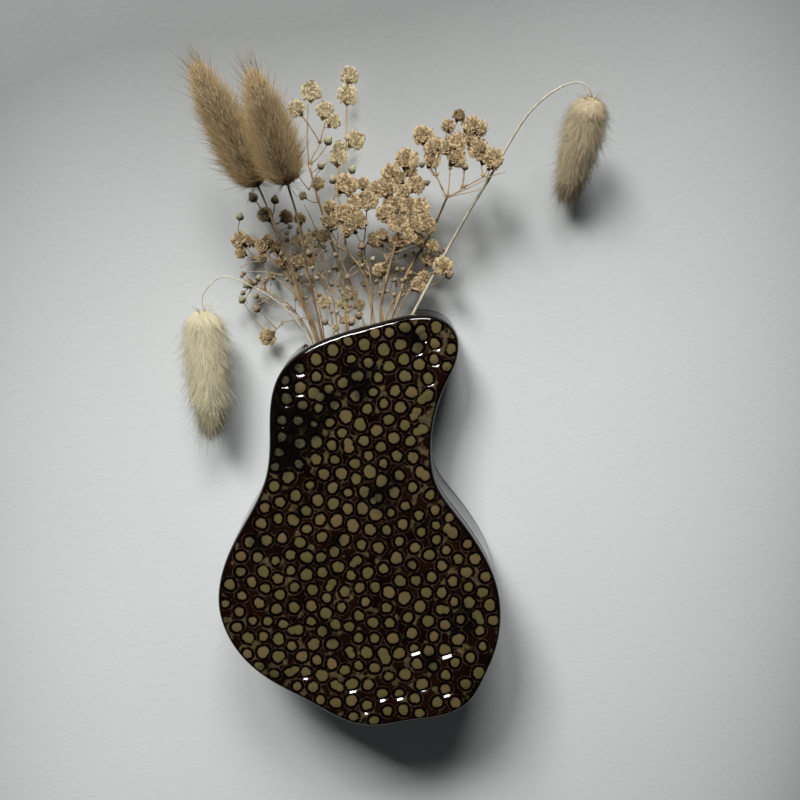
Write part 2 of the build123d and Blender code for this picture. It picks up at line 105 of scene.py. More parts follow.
def closed_spline(points, count):
    """count points evenly along the periodic cubic through points."""
    p = np.array(points, float)
    m = len(p)
    q = np.vstack([p, p[:1]])
    h = np.linalg.norm(np.diff(q, axis=0), axis=1)
    a, b = np.zeros((m, m)), np.zeros((m, 2))
    for i in range(m):
        before, after = h[i - 1], h[i]
        a[i, i - 1] += before
        a[i, i] += 2 * (before + after)
        a[i, (i + 1) % m] += after
        b[i] = 6 * ((q[i + 1] - q[i]) / after - (q[i] - p[i - 1]) / before)
    s = np.linalg.solve(a, b)
    s = np.vstack([s, s[:1]])
    out = []
    for i in range(m):
        t = np.linspace(0, h[i], 160, endpoint=False)[:, None]
        u = h[i] - t
        out.append(
            (s[i] * u**3 + s[i + 1] * t**3) / (6 * h[i])
            + (q[i] / h[i] - s[i] * h[i] / 6) * u
            + (q[i + 1] / h[i] - s[i + 1] * h[i] / 6) * t
        )
    fine = np.vstack(out)
    ring = np.vstack([fine, fine[:1]])
    run = np.concatenate([[0], np.cumsum(np.linalg.norm(np.diff(ring, axis=0), axis=1))])
    want = np.linspace(0, run[-1], count, endpoint=False)
    return np.stack([np.interp(want, run, ring[:, k]) for k in (0, 1)], 1), run[-1]


def catmull(points, per=8):
    """A smooth line through points."""
    p = np.asarray(points, float)
    p = np.vstack([2 * p[0] - p[1], p, 2 * p[-1] - p[-2]])
    out = []
    for i in range(1, len(p) - 2):
        t = np.linspace(0, 1, per, endpoint=False)[:, None]
        a, b, c, d = p[i - 1 : i + 3]
        m0 = (c - a) * 0.5
        m1 = (d - b) * 0.5
        out.append((2 * t**3 - 3 * t**2 + 1) * b + (t**3 - 2 * t**2 + t) * m0 + (-2 * t**3 + 3 * t**2) * c + (t**3 - t**2) * m1)
    out.append(p[-2:-1])
    return np.vstack(out)


def inside(points, polygon):
    """Which points lie inside a closed polygon."""
    out = np.zeros(len(points), bool)
    x1, z1 = polygon[:, 0], polygon[:, 1]
    x2, z2 = np.roll(x1, -1), np.roll(z1, -1)
    for i in range(0, len(points), 20000):
        px, pz = points[i : i + 20000, :1], points[i : i + 20000, 1:]
        over = (z1 > pz) != (z2 > pz)
        with np.errstate(divide="ignore", invalid="ignore"):
            cross = px < (x2 - x1) * (pz - z1) / (z2 - z1) + x1
        out[i : i + 20000] = (over & cross).sum(1) % 2 == 1
    return out


def edge_distance(points, polygon):
    """Distance from each point to a closed polygon with close corners."""
    out = np.empty(len(points))
    n = len(polygon)
    for i in range(0, len(points), 20000):
        p = points[i : i + 20000]
        far = (p[:, None, 0] - polygon[None, :, 0]) ** 2 + (p[:, None, 1] - polygon[None, :, 1]) ** 2
        k = far.argmin(1)
        best = np.sqrt(far[np.arange(len(p)), k])
        for a, b in ((k - 1, k), (k, (k + 1) % n)):
            ab = polygon[b] - polygon[a]
            t = np.clip(((p - polygon[a]) * ab).sum(1) / (ab * ab).sum(1), 0, 1)
            best = np.minimum(best, np.linalg.norm(p - polygon[a] - t[:, None] * ab, axis=1))
        out[i : i + 20000] = best
    return out


# ------------------------------------------------------------------ meshes


class Shape:
    """Vertices, triangles and per-point numbers, gathered bit by bit."""

    def __init__(self, *names):
        self.v, self.f, self.a, self.n = [], [], {k: [] for k in names}, 0
        self.soft = []

    def add(self, verts, faces, soft=None, **numbers):
        verts = np.asarray(verts, float).reshape(-1, 3)
        self.v.append(verts)
        self.f.append(np.asarray(faces, int).reshape(-1, 3) + self.n)
        self.n += len(verts)
        if soft is not None:
            self.soft.append(np.asarray(soft, float).reshape(-1, 3))
        for k in self.a:
            self.a[k].append(np.broadcast_to(np.asarray(numbers.get(k, 0.0), float), (len(verts),)))

    def build(self, name, material, uv=None):
        co = np.vstack(self.v) * 0.001
        tri = np.vstack(self.f)
        mesh = bpy.data.meshes.new(name)
        mesh.vertices.add(len(co))
        mesh.vertices.foreach_set("co", co.astype(np.float32).ravel())
        mesh.loops.add(len(tri) * 3)
        mesh.loops.foreach_set("vertex_index", tri.astype(np.int32).ravel())
        mesh.polygons.add(len(tri))
        mesh.polygons.foreach_set("loop_start", np.arange(0, len(tri) * 3, 3, dtype=np.int32))
        mesh.update(calc_edges=True)
        mesh.validate()
        mesh.shade_smooth()
        for k, parts in self.a.items():
            layer = mesh.attributes.new(k, "FLOAT", "POINT")
            layer.data.foreach_set("value", np.concatenate(parts).astype(np.float32))
        if self.soft:
            layer = mesh.attributes.new("soft", "FLOAT_VECTOR", "POINT")
            layer.data.foreach_set("vector", np.vstack(self.soft).astype(np.float32).ravel())
        if uv is not None:
            layer = mesh.uv_layers.new(name="OFBake")
            layer.data.foreach_set("uv", uv[tri.ravel()].astype(np.float32).ravel())
        mesh.materials.append(material)
        obj = bpy.data.objects.new(name, mesh)
        bpy.context.scene.collection.objects.link(obj)
        return obj


def sweep(path, radii, sides=8, squash=None):
    """A round tube along path, closed at both ends. Returns vertices, triangles and the share along it."""
    path = np.asarray(path, float)
    radii = np.broadcast_to(np.asarray(radii, float), (len(path),))
    tangent = unit(np.gradient(path, axis=0))
    side = np.cross(tangent[0], (0.0, 1.0, 0.0))
    if np.linalg.norm(side) < 0.1:
        side = np.cross(tangent[0], (1.0, 0.0, 0.0))
    side = unit(side)
    ring = np.linspace(0, 2 * np.pi, sides, endpoint=False)
    verts = []
    for i, (p, t, r) in enumerate(zip(path, tangent, radii)):
        side = unit(side - t * (side @ t))
        up = np.cross(t, side)
        verts.append(p + r * (np.cos(ring)[:, None] * side + np.sin(ring)[:, None] * up))
    n = len(path)
    verts = np.vstack([*verts, path[:1], path[-1:]])
    tri = []
    for i in range(n - 1):
        for k in range(sides):
            a, b = i * sides + k, i * sides + (k + 1) % sides
            c, d = a + sides, b + sides
            tri += [(a, b, d), (a, d, c)]
    first, last = n * sides, n * sides + 1
    for k in range(sides):
        a, b = k, (k + 1) % sides
        tri += [(first, b, a), (last, (n - 1) * sides + a, (n - 1) * sides + b)]
    along = np.concatenate([np.repeat(np.linspace(0, 1, n), sides), [0, 1]])
    return verts, np.array(tri), along


# ------------------------------------------------------------------ materials


class Nodes:
    """Builds a material's node tree with few words."""

    def __init__(self, name):
        self.material = bpy.data.materials.new(name)
        self.material.use_nodes = True
        self.tree = self.material.node_tree
        self.shader = self.tree.nodes["Principled BSDF"]

    def node(self, kind, _settings=None, **sockets):
        n = self.tree.nodes.new(kind)
        for k, v in (_settings or {}).items():
            setattr(n, k, v)
        for k, v in sockets.items():
            self.put(n.inputs[k.replace("_", " ")], v)
        return n

    def put(self, socket, value):
        if isinstance(value, bpy.types.NodeSocket):
            self.tree.links.new(value, socket)
        else:
            socket.default_value = value

    def set(self, **sockets):
        for k, v in sockets.items():
            self.put(self.shader.inputs[k.replace("_", " ")], v)

    def number(self, name):
        return self.node("ShaderNodeAttribute", {"attribute_name": name}).outputs["Fac"]

    def math(self, operation, *values):
        n = self.tree.nodes.new("ShaderNodeMath")
        n.operation = operation
        for socket, v in zip(n.inputs, values):
            self.put(socket, v)
        return n.outputs[0]

    def step(self, a, b, value, low=0.0, high=1.0):
        n = self.node("ShaderNodeMapRange", {"interpolation_type": "SMOOTHSTEP"})
        for k, v in (("Value", value), ("From Min", a), ("From Max", b), ("To Min", low), ("To Max", high)):
            self.put(n.inputs[k], v)
        return n.outputs["Result"]

    def noise(self, wave_mm, detail=2.0, rough=0.5, stretch=None, offset=0.0):
        """Noise of about wave_mm in object space, 0 to 1."""
        where = self.node("ShaderNodeTexCoord").outputs["Object"]
        if stretch or offset:
            m = self.node("ShaderNodeMapping")
            self.put(m.inputs["Vector"], where)
            m.inputs["Scale"].default_value = stretch or (1, 1, 1)
            m.inputs["Location"].default_value = (offset, offset * 0.7, offset * 1.3)
            where = m.outputs["Vector"]
        n = self.node("ShaderNodeTexNoise", Scale=1000.0 / wave_mm, Detail=detail, Roughness=rough)
        self.put(n.inputs["Vector"], where)
        return n.outputs["Fac"]

    def mix(self, share, a, b):
        n = self.node("ShaderNodeMix", {"data_type": "RGBA"})
        for socket, v in ((n.inputs[0], share), (n.inputs[6], a), (n.inputs[7], b)):
            self.put(socket, (*v, 1.0) if isinstance(v, tuple) else v)
        return n.outputs[2]

    def bump(self, height, strength, distance_mm, normal=None):
        n = self.node("ShaderNodeBump", Strength=strength, Distance=distance_mm * 0.001, Height=height)
        if normal is not None:
            self.put(n.inputs["Normal"], normal)
        return n.outputs["Normal"]


def soften(m, share, own):
    """Light passes through thin petals and hairs, so they are shaded mostly as the whole bloom or head that they are part of."""
    soft = m.node("ShaderNodeAttribute", {"attribute_name": "soft"}).outputs["Vector"]
    turn = m.node("ShaderNodeVectorTransform", {"vector_type": "NORMAL", "convert_from": "OBJECT", "convert_to": "WORLD"})
    m.put(turn.inputs[0], soft)
    mix = m.node("ShaderNodeMix", {"data_type": "VECTOR"})
    m.put(mix.inputs[0], share)
    m.put(mix.inputs[4], own)
    m.put(mix.inputs[5], turn.outputs[0])
    long = m.node("ShaderNodeVectorMath", {"operation": "NORMALIZE"})
    m.put(long.inputs[0], mix.outputs[1])
    return long.outputs[0]


def dotted_glaze():
    m = Nodes("dotted_glaze")
    d, gap, tone, edge = m.number("dot"), m.number("gap"), m.number("tone"), m.number("edge")
    shade, thin = m.number("shade"), m.number("thin")
    fine = m.noise(0.75, 3.0, 0.65)
    nib = m.noise(0.50, 2.0, 0.6, offset=0.13)
    soft = m.noise(4.5, 2.0, 0.5, offset=0.31)
    broad = m.noise(24.0, 1.5, 0.5, offset=0.77)
    worn = m.noise(1.8, 3.0, 0.65, offset=0.53)

    # dark pooled glaze, from black to red-brown
    between = m.mix(m.step(0.36, 0.60, broad), (0.0036, 0.0015, 0.0010), (0.0090, 0.0032, 0.0017))
    between = m.mix(m.step(0.50, 0.75, soft), between, (0.0170, 0.0065, 0.0034))
    # clay showing through on the dots
    olive = m.mix(tone, (0.081, 0.069, 0.024), (0.111, 0.077, 0.036))
    olive = m.mix(m.step(0.35, 0.75, fine, 0.0, 0.55), olive, (0.102, 0.084, 0.040))
    olive = m.mix(m.step(0.60, 0.75, worn, 0.0, 0.55), olive, (0.060, 0.045, 0.020))

    # feathered edges, and smaller dots under the thick glaze
    wobble = m.math("ADD", m.math("MULTIPLY_ADD", fine, 0.85, -0.42), m.math("MULTIPLY_ADD", nib, 0.90, -0.45))
    dw = m.math("ADD", m.math("MULTIPLY_ADD", shade, 0.45, d), wobble)
    dot = m.step(0.18, -0.30, dw)
    ring = m.step(1.35, 0.90, m.math("MULTIPLY_ADD", fine, 0.40, m.math("SUBTRACT", d, 0.20)))
    # a thin line round each ring, broken here and there
    meet = m.math("MULTIPLY", m.step(0.50, 0.08, gap), m.math("MULTIPLY", m.step(0.40, 0.70, d), m.step(1.70, 1.30, d)))
    rim = m.math("MULTIPLY", m.step(1.02, 1.22, d), m.step(1.50, 1.28, d))
    line = m.math("MAXIMUM", meet, rim)
    line = m.math("MULTIPLY", line, m.step(0.38, 0.58, worn, 0.0, 0.9))
    # thin glaze in patches between the rings
    bare = m.math("ADD", soft, thin)
    patch = m.math("MULTIPLY", m.step(1.05, 1.50, dw), m.step(0.55, 0.64, bare))
    patch = m.math("MAXIMUM", patch, m.math("MULTIPLY", m.step(0.66, 0.74, bare), m.step(0.30, 0.70, dw)))

    colour = m.mix(ring, between, (0.0022, 0.0009, 0.0006))
    colour = m.mix(line, colour, (0.048, 0.031, 0.019))
    colour = m.mix(patch, colour, m.mix(m.step(0.4, 0.6, worn), (0.082, 0.062, 0.029), (0.050, 0.037, 0.020)))
    colour = m.mix(dot, colour, olive)
    # the glaze runs thicker to the upper left and along the edge
    dark = m.mix(m.math("MULTIPLY", dot, m.step(0.30, 0.62, worn, 0.25, 1.0)), (0.0018, 0.0016, 0.0014), (0.050, 0.051, 0.030))
    colour = m.mix(shade, colour, dark)
    colour = m.mix(m.step(0.60, 0.25, edge), colour, (0.0026, 0.0013, 0.0010))

    rough = m.math("MULTIPLY_ADD", dot, 0.04, 0.06)
    normal = m.bump(m.noise(1.6, 1.0, 0.4, offset=0.2), 0.06, 0.25)
    m.set(Base_Color=colour, Roughness=rough, IOR=1.5, Normal=normal)
    return m.material


def plain_glaze():
    m = Nodes("plain_glaze")
    broad = m.noise(30.0, 2.0, 0.5, offset=0.4)
    fine = m.noise(1.3, 3.0, 0.6)
    runs = m.noise(9.0, 2.0, 0.5, stretch=(1.0, 0.35, 1.0), offset=0.9)
    colour = m.mix(m.step(0.38, 0.66, broad), (0.0042, 0.0034, 0.0030), (0.0165, 0.0085, 0.0060))
    colour = m.mix(m.step(0.60, 0.78, runs), colour, (0.030, 0.019, 0.012))
    colour = m.mix(m.step(0.66, 0.74, fine), colour, (0.022, 0.014, 0.010))
    rough = m.math("MULTIPLY_ADD", fine, 0.10, 0.07)
    lumps = m.bump(m.noise(14.0, 1.0, 0.4, offset=0.6), 0.35, 1.2)
    normal = m.bump(m.noise(1.0, 2.0, 0.5), 0.06, 0.25, lumps)
    m.set(Base_Color=colour, Roughness=rough, IOR=1.55, Normal=normal)
    return m.material


def straw(name, dark, light, knots):
    m = Nodes(name)
    along = m.number("along")
    streak = m.noise(1.2, 3.0, 0.6, stretch=(1.0, 1.0, 0.12))
    blotch = m.noise(6.0, 2.0, 0.5, offset=0.35)
    colour = m.mix(m.step(0.3, 0.7, streak), dark, light)
    colour = m.mix(m.step(0.52, 0.72, blotch), colour, knots)
    colour = m.mix(m.step(0.75, 1.0, along, 0.0, 0.5), colour, dark)
    normal = m.bump(streak, 0.35, 0.12)
    m.set(Base_Color=colour, Roughness=m.step(0.0, 1.0, streak, 0.42, 0.62), Normal=normal)
    return m.material


def hair(name, root, mid, tip, odd):
    m = Nodes(name)
    along, tone = m.number("along"), m.number("tone")
    colour = m.mix(m.step(0.0, 0.40, along), root, mid)
    colour = m.mix(m.step(0.35, 1.0, along), colour, tip)
    colour = m.mix(m.step(0.30, 1.0, tone), colour, odd)
    patch = m.noise(9.0, 2.0, 0.5)
    normal = soften(m, 0.72, m.node("ShaderNodeNewGeometry").outputs["Normal"])
    m.set(Base_Color=colour, Roughness=m.step(0.0, 1.0, patch, 0.55, 0.7), Normal=normal)
    return m.material


def papery(name, deep, body, rim, stain, sheer=0.0):
    m = Nodes(name)
    along, tone = m.number("along"), m.number("tone")
    vein = m.noise(0.5, 2.0, 0.6)
    blotch = m.noise(2.6, 2.0, 0.5, offset=0.41)
    # Colour runs from the foot (along 0) to the tip (along 1): darker at the foot, paler at the tip. On the bloom
    # petals the dark foot is painted shade in the crevices between petals, and the pale tip is painted light on the
    # outer edges.
    colour = m.mix(m.step(0.0, 0.60, along), deep, body)
    colour = m.mix(m.step(0.50, 1.0, along), colour, rim)
    colour = m.mix(m.step(0.25, 1.0, tone, 0.0, 0.95), colour, stain)
    colour = m.mix(m.step(0.55, 0.75, blotch, 0.0, 0.35), colour, stain)
    normal = m.bump(vein, 0.2, 0.10)
    if sheer:
        # a petal lit from behind glows through
        glow = m.node("ShaderNodeBsdfTranslucent", Color=colour, Normal=normal)
        both = m.node("ShaderNodeMixShader")
        m.put(both.inputs[0], 0.45)
        m.put(both.inputs[1], m.shader.outputs[0])
        m.put(both.inputs[2], glow.outputs[0])
        m.put(m.tree.nodes["Material Output"].inputs["Surface"], both.outputs[0])
        normal = soften(m, sheer, normal)
    m.set(Base_Color=colour, Roughness=m.step(0.0, 1.0, vein, 0.6, 0.85), Normal=normal)
    return m.material


GLAZE_FRONT = dotted_glaze()
GLAZE = plain_glaze()
STRAW_TAN = straw("straw_tan", (0.190, 0.115, 0.055), (0.370, 0.255, 0.135), (0.130, 0.072, 0.036))
STRAW_PALE = straw("straw_pale", (0.340, 0.302, 0.218), (0.550, 0.508, 0.395), (0.290, 0.242, 0.164))
TWIG = straw("twig_brown", (0.210, 0.135, 0.064), (0.430, 0.315, 0.170), (0.260, 0.200, 0.090))
HAIR_TAN = hair("hair_tan", (0.119, 0.064, 0.018), (0.221, 0.134, 0.042), (0.288, 0.196, 0.073), (0.071, 0.041, 0.014))
HAIR_PALE = hair("hair_pale", (0.348, 0.287, 0.160), (0.555, 0.488, 0.308), (0.724, 0.664, 0.466), (0.291, 0.247, 0.144))
# the pale hair again, painted darker: painted shade for the head that hangs in shade
HAIR_PALE_SHADED = hair("hair_pale_painted_shade", (0.252, 0.192, 0.104), (0.420, 0.336, 0.197), (0.554, 0.456, 0.293), (0.202, 0.154, 0.085))
CORE_TAN = papery("core_tan", (0.150, 0.090, 0.040), (0.250, 0.160, 0.070), (0.330, 0.225, 0.110), (0.180, 0.115, 0.050))
CORE_PALE = papery("core_pale", (0.360, 0.300, 0.180), (0.500, 0.435, 0.290), (0.600, 0.530, 0.380), (0.420, 0.355, 0.225))
# the petals' dark foot colour is painted shade and their pale tip colour is painted light; the stain colour is their
# own
PETAL = papery("petal_cream", (0.120, 0.070, 0.026), (0.326, 0.232, 0.112), (0.640, 0.512, 0.318), (0.206, 0.128, 0.051), 0.62)
PETAL_PALE = papery("petal_pale", (0.165, 0.117, 0.052), (0.376, 0.306, 0.170), (0.610, 0.536, 0.362), (0.256, 0.186, 0.088), 0.62)
POD = papery("pod_brown", (0.120, 0.078, 0.042), (0.225, 0.160, 0.090), (0.310, 0.238, 0.148), (0.140, 0.088, 0.050))
BUD = papery("bud_green", (0.120, 0.100, 0.052), (0.225, 0.200, 0.115), (0.330, 0.295, 0.190), (0.160, 0.105, 0.060))

# ------------------------------------------------------------------ vase

EDGE_N = 1000
EDGE, EDGE_LEN = closed_spline(OUTLINE, EDGE_N)
along_edge = unit(np.roll(EDGE, -1, 0) - np.roll(EDGE, 1, 0))
INWARD = np.stack([along_edge[:, 1], -along_edge[:, 0]], 1)  # the outline runs clockwise


def dots():
    """Centres, radii and shapes of the stamped dots: an even but freehand scatter over the face."""
    r = np.random.default_rng(2026)
    line = EDGE[::5]
    tries = np.stack([r.uniform(-56, 54, 60000), r.uniform(-115, 44, 60000)], 1)
    tries = tries[inside(tries, line)]
    room = edge_distance(tries, EDGE)
    tries = tries[room > 3.1 + r.uniform(-0.5, 0.9, len(tries))]
    kept = np.full((600, 2), 1e3)
    n = 0
    for p in tries:
        if ((kept[:n] - p) ** 2).sum(1).min(initial=1e6) > 5.15**2:
            kept[n] = p
            n += 1
    c = kept[:n]
    for _ in range(8):  # let the crowd spread a little
        v = c[:, None] - c[None]
        dist = np.hypot(v[..., 0], v[..., 1]) + np.eye(len(c)) * 99
        push = (np.clip(6.7 - dist, 0, None) / dist)[..., None] * v
        new = c + 0.10 * push.sum(1)
        ok = inside(new, line) & (edge_distance(new, EDGE) > 2.9)
        c = np.where(ok[:, None], new, c)
    v = c[:, None] - c[None]
    near = (np.hypot(v[..., 0], v[..., 1]) + np.eye(len(c)) * 99).min(1)
    room = edge_distance(c, EDGE)
    size = np.clip(r.normal(1.92, 0.21, len(c)), 1.35, 2.35)
    size = np.minimum(np.minimum(size, near / 2 - 0.40), room - 1.05)
    # some dots run together in pairs
    pair, pair_size = np.full((len(c), 2), 1e3), np.ones(len(c))
    made = 0
    for i in r.permutation(len(c)):
        if made >= 18:
            break
        turn = r.uniform(0, 2 * np.pi)
        p = c[i] + (size[i] * 1.3) * np.array((math.cos(turn), math.sin(turn)))
        s = size[i] * r.uniform(0.75, 0.95)
        others = np.hypot(*(c - p).T) - size
        others[i] = 99
        if others.min() > s + 0.45 and inside(p[None], line)[0] and edge_distance(p[None], EDGE)[0] > s + 1.1:
            pair[i], pair_size[i] = p, s
            made += 1
    n = len(c)
    # glaze pooled less at the foot and at the two upper corners, where the rings stay deep
    z, x = c[:, 1], c[:, 0]
    open_ring = np.maximum.reduce([
        smooth(10, 22, z) * smooth(12, 20, x),
        0.9 * smooth(-4, 8, z) * smooth(-14, -22, x),
    ])
    deep = r.uniform(0.06, 0.13, n) + open_ring * np.where(r.uniform(size=n) < 0.55, r.uniform(0.90, 1.08, n), 0.12) * 0.34
    banks = []
    for px, py in ((345, 689), (378, 691), (405, 694), (421, 689), (434, 692), (371, 712), (302, 672), (420, 652), (450, 657)):
        p = at_pixel(px, py, -42.0)
        banks.append(int(np.argmin(np.hypot(x - p[0], z - p[2]))))
    return {
        "c": c, "r": size, "pair": pair, "pair_r": pair_size,
        "phase": r.uniform(0, 2 * np.pi, (n, 4)),
        "lobes": r.uniform(0.3, 1.0, (n, 4)) * np.array((0.085, 0.055, 0.035, 0.022)),
        "tone": r.uniform(0, 1, n),
        "deep": deep,
        "ring": np.clip(r.normal(1.25, 0.12, n), 1.0, 1.5),
        "banks": sorted(set(banks)),
    }


def dot_field(p, dd):
    """For each point: distance to the nearest dot's edge, how much farther the next dot is, that dot's tone, and the relief."""
    out = []
    for i in range(0, len(p), 20000):
        q = p[i : i + 20000]
        far = np.minimum(
            (q[:, None, 0] - dd["c"][None, :, 0]) ** 2 + (q[:, None, 1] - dd["c"][None, :, 1]) ** 2,
            (q[:, None, 0] - dd["pair"][None, :, 0]) ** 2 + (q[:, None, 1] - dd["pair"][None, :, 1]) ** 2,
        )
        near = np.argpartition(far, 6, axis=1)[:, :6]
        both = []
        for centre, size in (("c", "r"), ("pair", "pair_r")):
            v = q[:, None, :] - dd[centre][near]
            a = np.arctan2(v[..., 1], v[..., 0])
            lobes = sum(dd["lobes"][near][..., k] * np.sin(w * a + dd["phase"][near][..., k]) for k, w in enumerate((2, 3, 5, 8)))
            both.append(np.hypot(v[..., 0], v[..., 1]) - dd[size][near] * (1 + lobes))
        low, high = np.minimum(*both), np.maximum(*both)
        d = low - 0.3 * np.log1p(np.exp(-(high - low) / 0.3))
        rank = np.argsort(d, 1)[:, :3]
        near, d = np.take_along_axis(near, rank, 1), np.take_along_axis(d, rank, 1)
        deep, ring = dd["deep"][near], dd["ring"][near]
        wall = np.clip((d / ring - 0.42) / 0.66, 0, 1)
        cut = -deep * smooth(-1.8, 0.45, d) * (1 - wall)
        h = cut.min(1) + 0.04 * (1 - smooth(-2.4, 0.2, d[:, 0]))
        h = h + 0.04 * np.exp(-(((d[:, 1] - d[:, 0]) / 0.5) ** 2))
        calm = np.zeros(len(q))
        for k in dd["banks"]:
            v = q - dd["c"][k]
            down = -(v @ (-0.299, 0.954))
            s = 0.84 * down + 0.16 * np.hypot(v[:, 0], v[:, 1]) - dd["r"][k]
            side = np.abs(v @ (0.954, 0.299))
            calm = np.maximum(calm, smooth(5.0, 3.0, np.hypot(v[:, 0], v[:, 1])))
            bank = -0.84 * smooth(2.7, 1.8, side) * smooth(-0.7, 0.30, s) * (1 - np.clip((s - 0.30) / 1.15, 0, 1))
            h = np.minimum(h, bank)
            h = h - 0.16 * smooth(2.2, 1.4, side) * smooth(1.55, 1.75, s) * smooth(2.15, 1.80, s)
        out.append(np.column_stack([d[:, 0], d[:, 1] - d[:, 0], dd["tone"][near[:, 0]], h, calm]))
    return np.vstack(out)


def face_height(p, t, relief, calm):
    """Height of the front face over its plane, with a softly rounded edge and hand-made waviness."""
    r = 1.9
    inner = np.clip(r - t, 0, r)
    drop = r - np.sqrt(np.maximum(r * r - inner * inner, 0))
    wave = (0.22 * field(p, 34.0, 11) + 0.07 * field(p, 13.0, 12)) * (1 - 0.85 * calm)
    return relief * smooth(0.7, 2.0, t) + wave * smooth(0.0, 6.0, t) - 0.25 * (1 - smooth(0.5, 7.0, t)) - drop


def front_skin():
    dd = dots()
    step = 0.39
    rows = np.arange(-116, 45, step * math.sqrt(3) / 2)
    cols = np.arange(-57, 55, step)
    gx, gz = np.meshgrid(cols, rows)
    gx = gx + (np.arange(len(rows)) % 2)[:, None] * step / 2
    ii, jj = np.meshgrid(np.arange(len(cols)), np.arange(len(rows)))
    lattice = np.stack([gx.ravel(), gz.ravel()], 1)
    third = ((ii - jj // 2 + 2 * jj) % 3 == 0).ravel()
    keep = inside(lattice, EDGE[::4])
    lattice, third = lattice[keep], third[keep]
    room = edge_distance(lattice, EDGE)
    lattice, third = lattice[room > 1.75], third[room > 1.75]
    # fewer points on the flat tops of the dots
    inner = np.zeros(len(lattice), bool)
    for c, s in zip(dd["c"], dd["r"]):
        inner |= np.hypot(lattice[:, 0] - c[0], lattice[:, 1] - c[1]) < s - 0.75
    lattice = lattice[~inner | third]
    gx, gz = np.meshgrid(np.arange(-40, 50, 0.24), np.arange(-114, -70, 0.21))
    fine = np.stack([(gx + (np.arange(gx.shape[0]) % 2)[:, None] * 0.12).ravel(), gz.ravel()], 1)
    near = np.zeros(len(fine), bool)
    old = np.zeros(len(lattice), bool)
    for k in dd["banks"]:
        c, s = dd["c"][k], dd["r"][k]
        for points, hit in ((fine, near), (lattice, old)):
            hit |= (np.abs(points[:, 0] - c[0]) < 2.9) & (points[:, 1] > c[1] - s - 2.0) & (points[:, 1] < c[1] - 0.6 * s)
    fine = fine[near]
    fine = fine[inside(fine, EDGE[::4])]
    fine = fine[edge_distance(fine, EDGE) > 1.75]
    lattice = np.vstack([lattice[~old], fine])
    rings = (0.0, 0.10, 0.30, 0.62, 1.02, 1.45)
    loops = [EDGE + INWARD * t for t in rings]
    pts = np.vstack([*loops, lattice])
    n = len(EDGE)
    edges = [(i, (i + 1) % n) for i in range(n)]
    made = geometry.delaunay_2d_cdt([Vector(p) for p in pts.tolist()], edges, [], 1, 1e-7)
    p = np.array([v[:] for v in made[0]])
    tri = np.array(made[2])
    origin = made[3]
    t = edge_distance(p, EDGE)
    which = np.array([o[0] if o else -1 for o in origin])
    for k, ring in enumerate(rings):
        t[(which >= k * n) & (which < (k + 1) * n)] = ring
    value = dot_field(p, dd)
    h = face_height(p, t, value[:, 3], value[:, 4])
    # the three corners of a triangle run anticlockwise seen from the front
    a, b, c = p[tri[:, 0]], p[tri[:, 1]], p[tri[:, 2]]
    turn = (b[:, 0] - a[:, 0]) * (c[:, 1] - a[:, 1]) - (b[:, 1] - a[:, 1]) * (c[:, 0] - a[:, 0])
    tri[turn < 0] = tri[turn < 0][:, ::-1]
    verts = np.column_stack([p[:, 0], y_front(p[:, 1]) - h / math.cos(TILT), p[:, 1]])
    # where the dark glaze runs thick: the upper left, and streaks elsewhere
    thick = 1.45 * np.exp(-(((p[:, 0] + 27) / 13) ** 2 + ((p[:, 1] - 6) / 24) ** 2))
    thick = thick + 0.30 * field(p, 38.0, 31) + 0.22 * field(p, 14.0, 32)
    shade = 0.93 * smooth(0.30, 1.25, thick)
    # and where it is thin enough for clay to show between the rings
    thin = 0.15 * np.exp(-(((p[:, 0] - 25) / 8) ** 2 + ((p[:, 1] - 1) / 17) ** 2))
    thin = thin + 0.10 * np.exp(-(((p[:, 0] - 29) / 7) ** 2 + ((p[:, 1] - 36) / 7) ** 2))
    thin = thin + 0.08 * np.exp(-(((p[:, 0] + 40) / 12) ** 2 + ((p[:, 1] + 84) / 12) ** 2))
    thin = thin + 0.07 * np.exp(-(((p[:, 0] + 2) / 20) ** 2 + ((p[:, 1] + 90) / 7) ** 2))
    shape = Shape("dot", "gap", "tone", "edge", "shade", "thin")
    shape.add(verts, tri, dot=value[:, 0], gap=value[:, 1], tone=value[:, 2], edge=np.clip(t / 3.0, 0, 1), shade=shade, thin=thin)

    # the slab's side, from the rounded edge back to its inner face
    first = np.full(n, -1)
    for v, o in enumerate(origin):
        for k in o:
            if k < n:
                first[k] = v
    mouth = smooth(-23.5, -20.5, EDGE[:, 0]) * (1 - smooth(18.0, 21.5, EDGE[:, 0])) * (EDGE[:, 1] > 20)
    y_in = y_front(EDGE[:, 1]) + FRONT_T / math.cos(TILT)
    y_top = verts[first][:, 1]
    loops = []
    for share in (0.25, 0.5, 0.75, 1.0):
        y = y_top + (y_in - 1.0 * mouth - y_top) * share
        loops.append(np.column_stack([EDGE[:, 0], y, EDGE[:, 1]]))
    for off, back in ((0.12, 0.55), (0.45, 0.18), (1.0, 0.0)):
        q = EDGE + INWARD * (off * mouth)[:, None]
        loops.append(np.column_stack([q[:, 0], y_in - back * mouth, q[:, 1]]))
    ring0 = first
    base = shape.n
    shape.add(np.vstack(loops), np.zeros((0, 3), int), dot=3.0, gap=3.0, tone=0.5, edge=0.0, shade=0.3)
    quads = []
    for k in range(len(loops)):
        lower = ring0 if k == 0 else base + (k - 1) * n + np.arange(n)
        upper = base + k * n + np.arange(n)
        a, b, c, d = lower, np.roll(lower, -1), upper, np.roll(upper, -1)
        quads += [np.column_stack([a, b, d]), np.column_stack([a, d, c])]
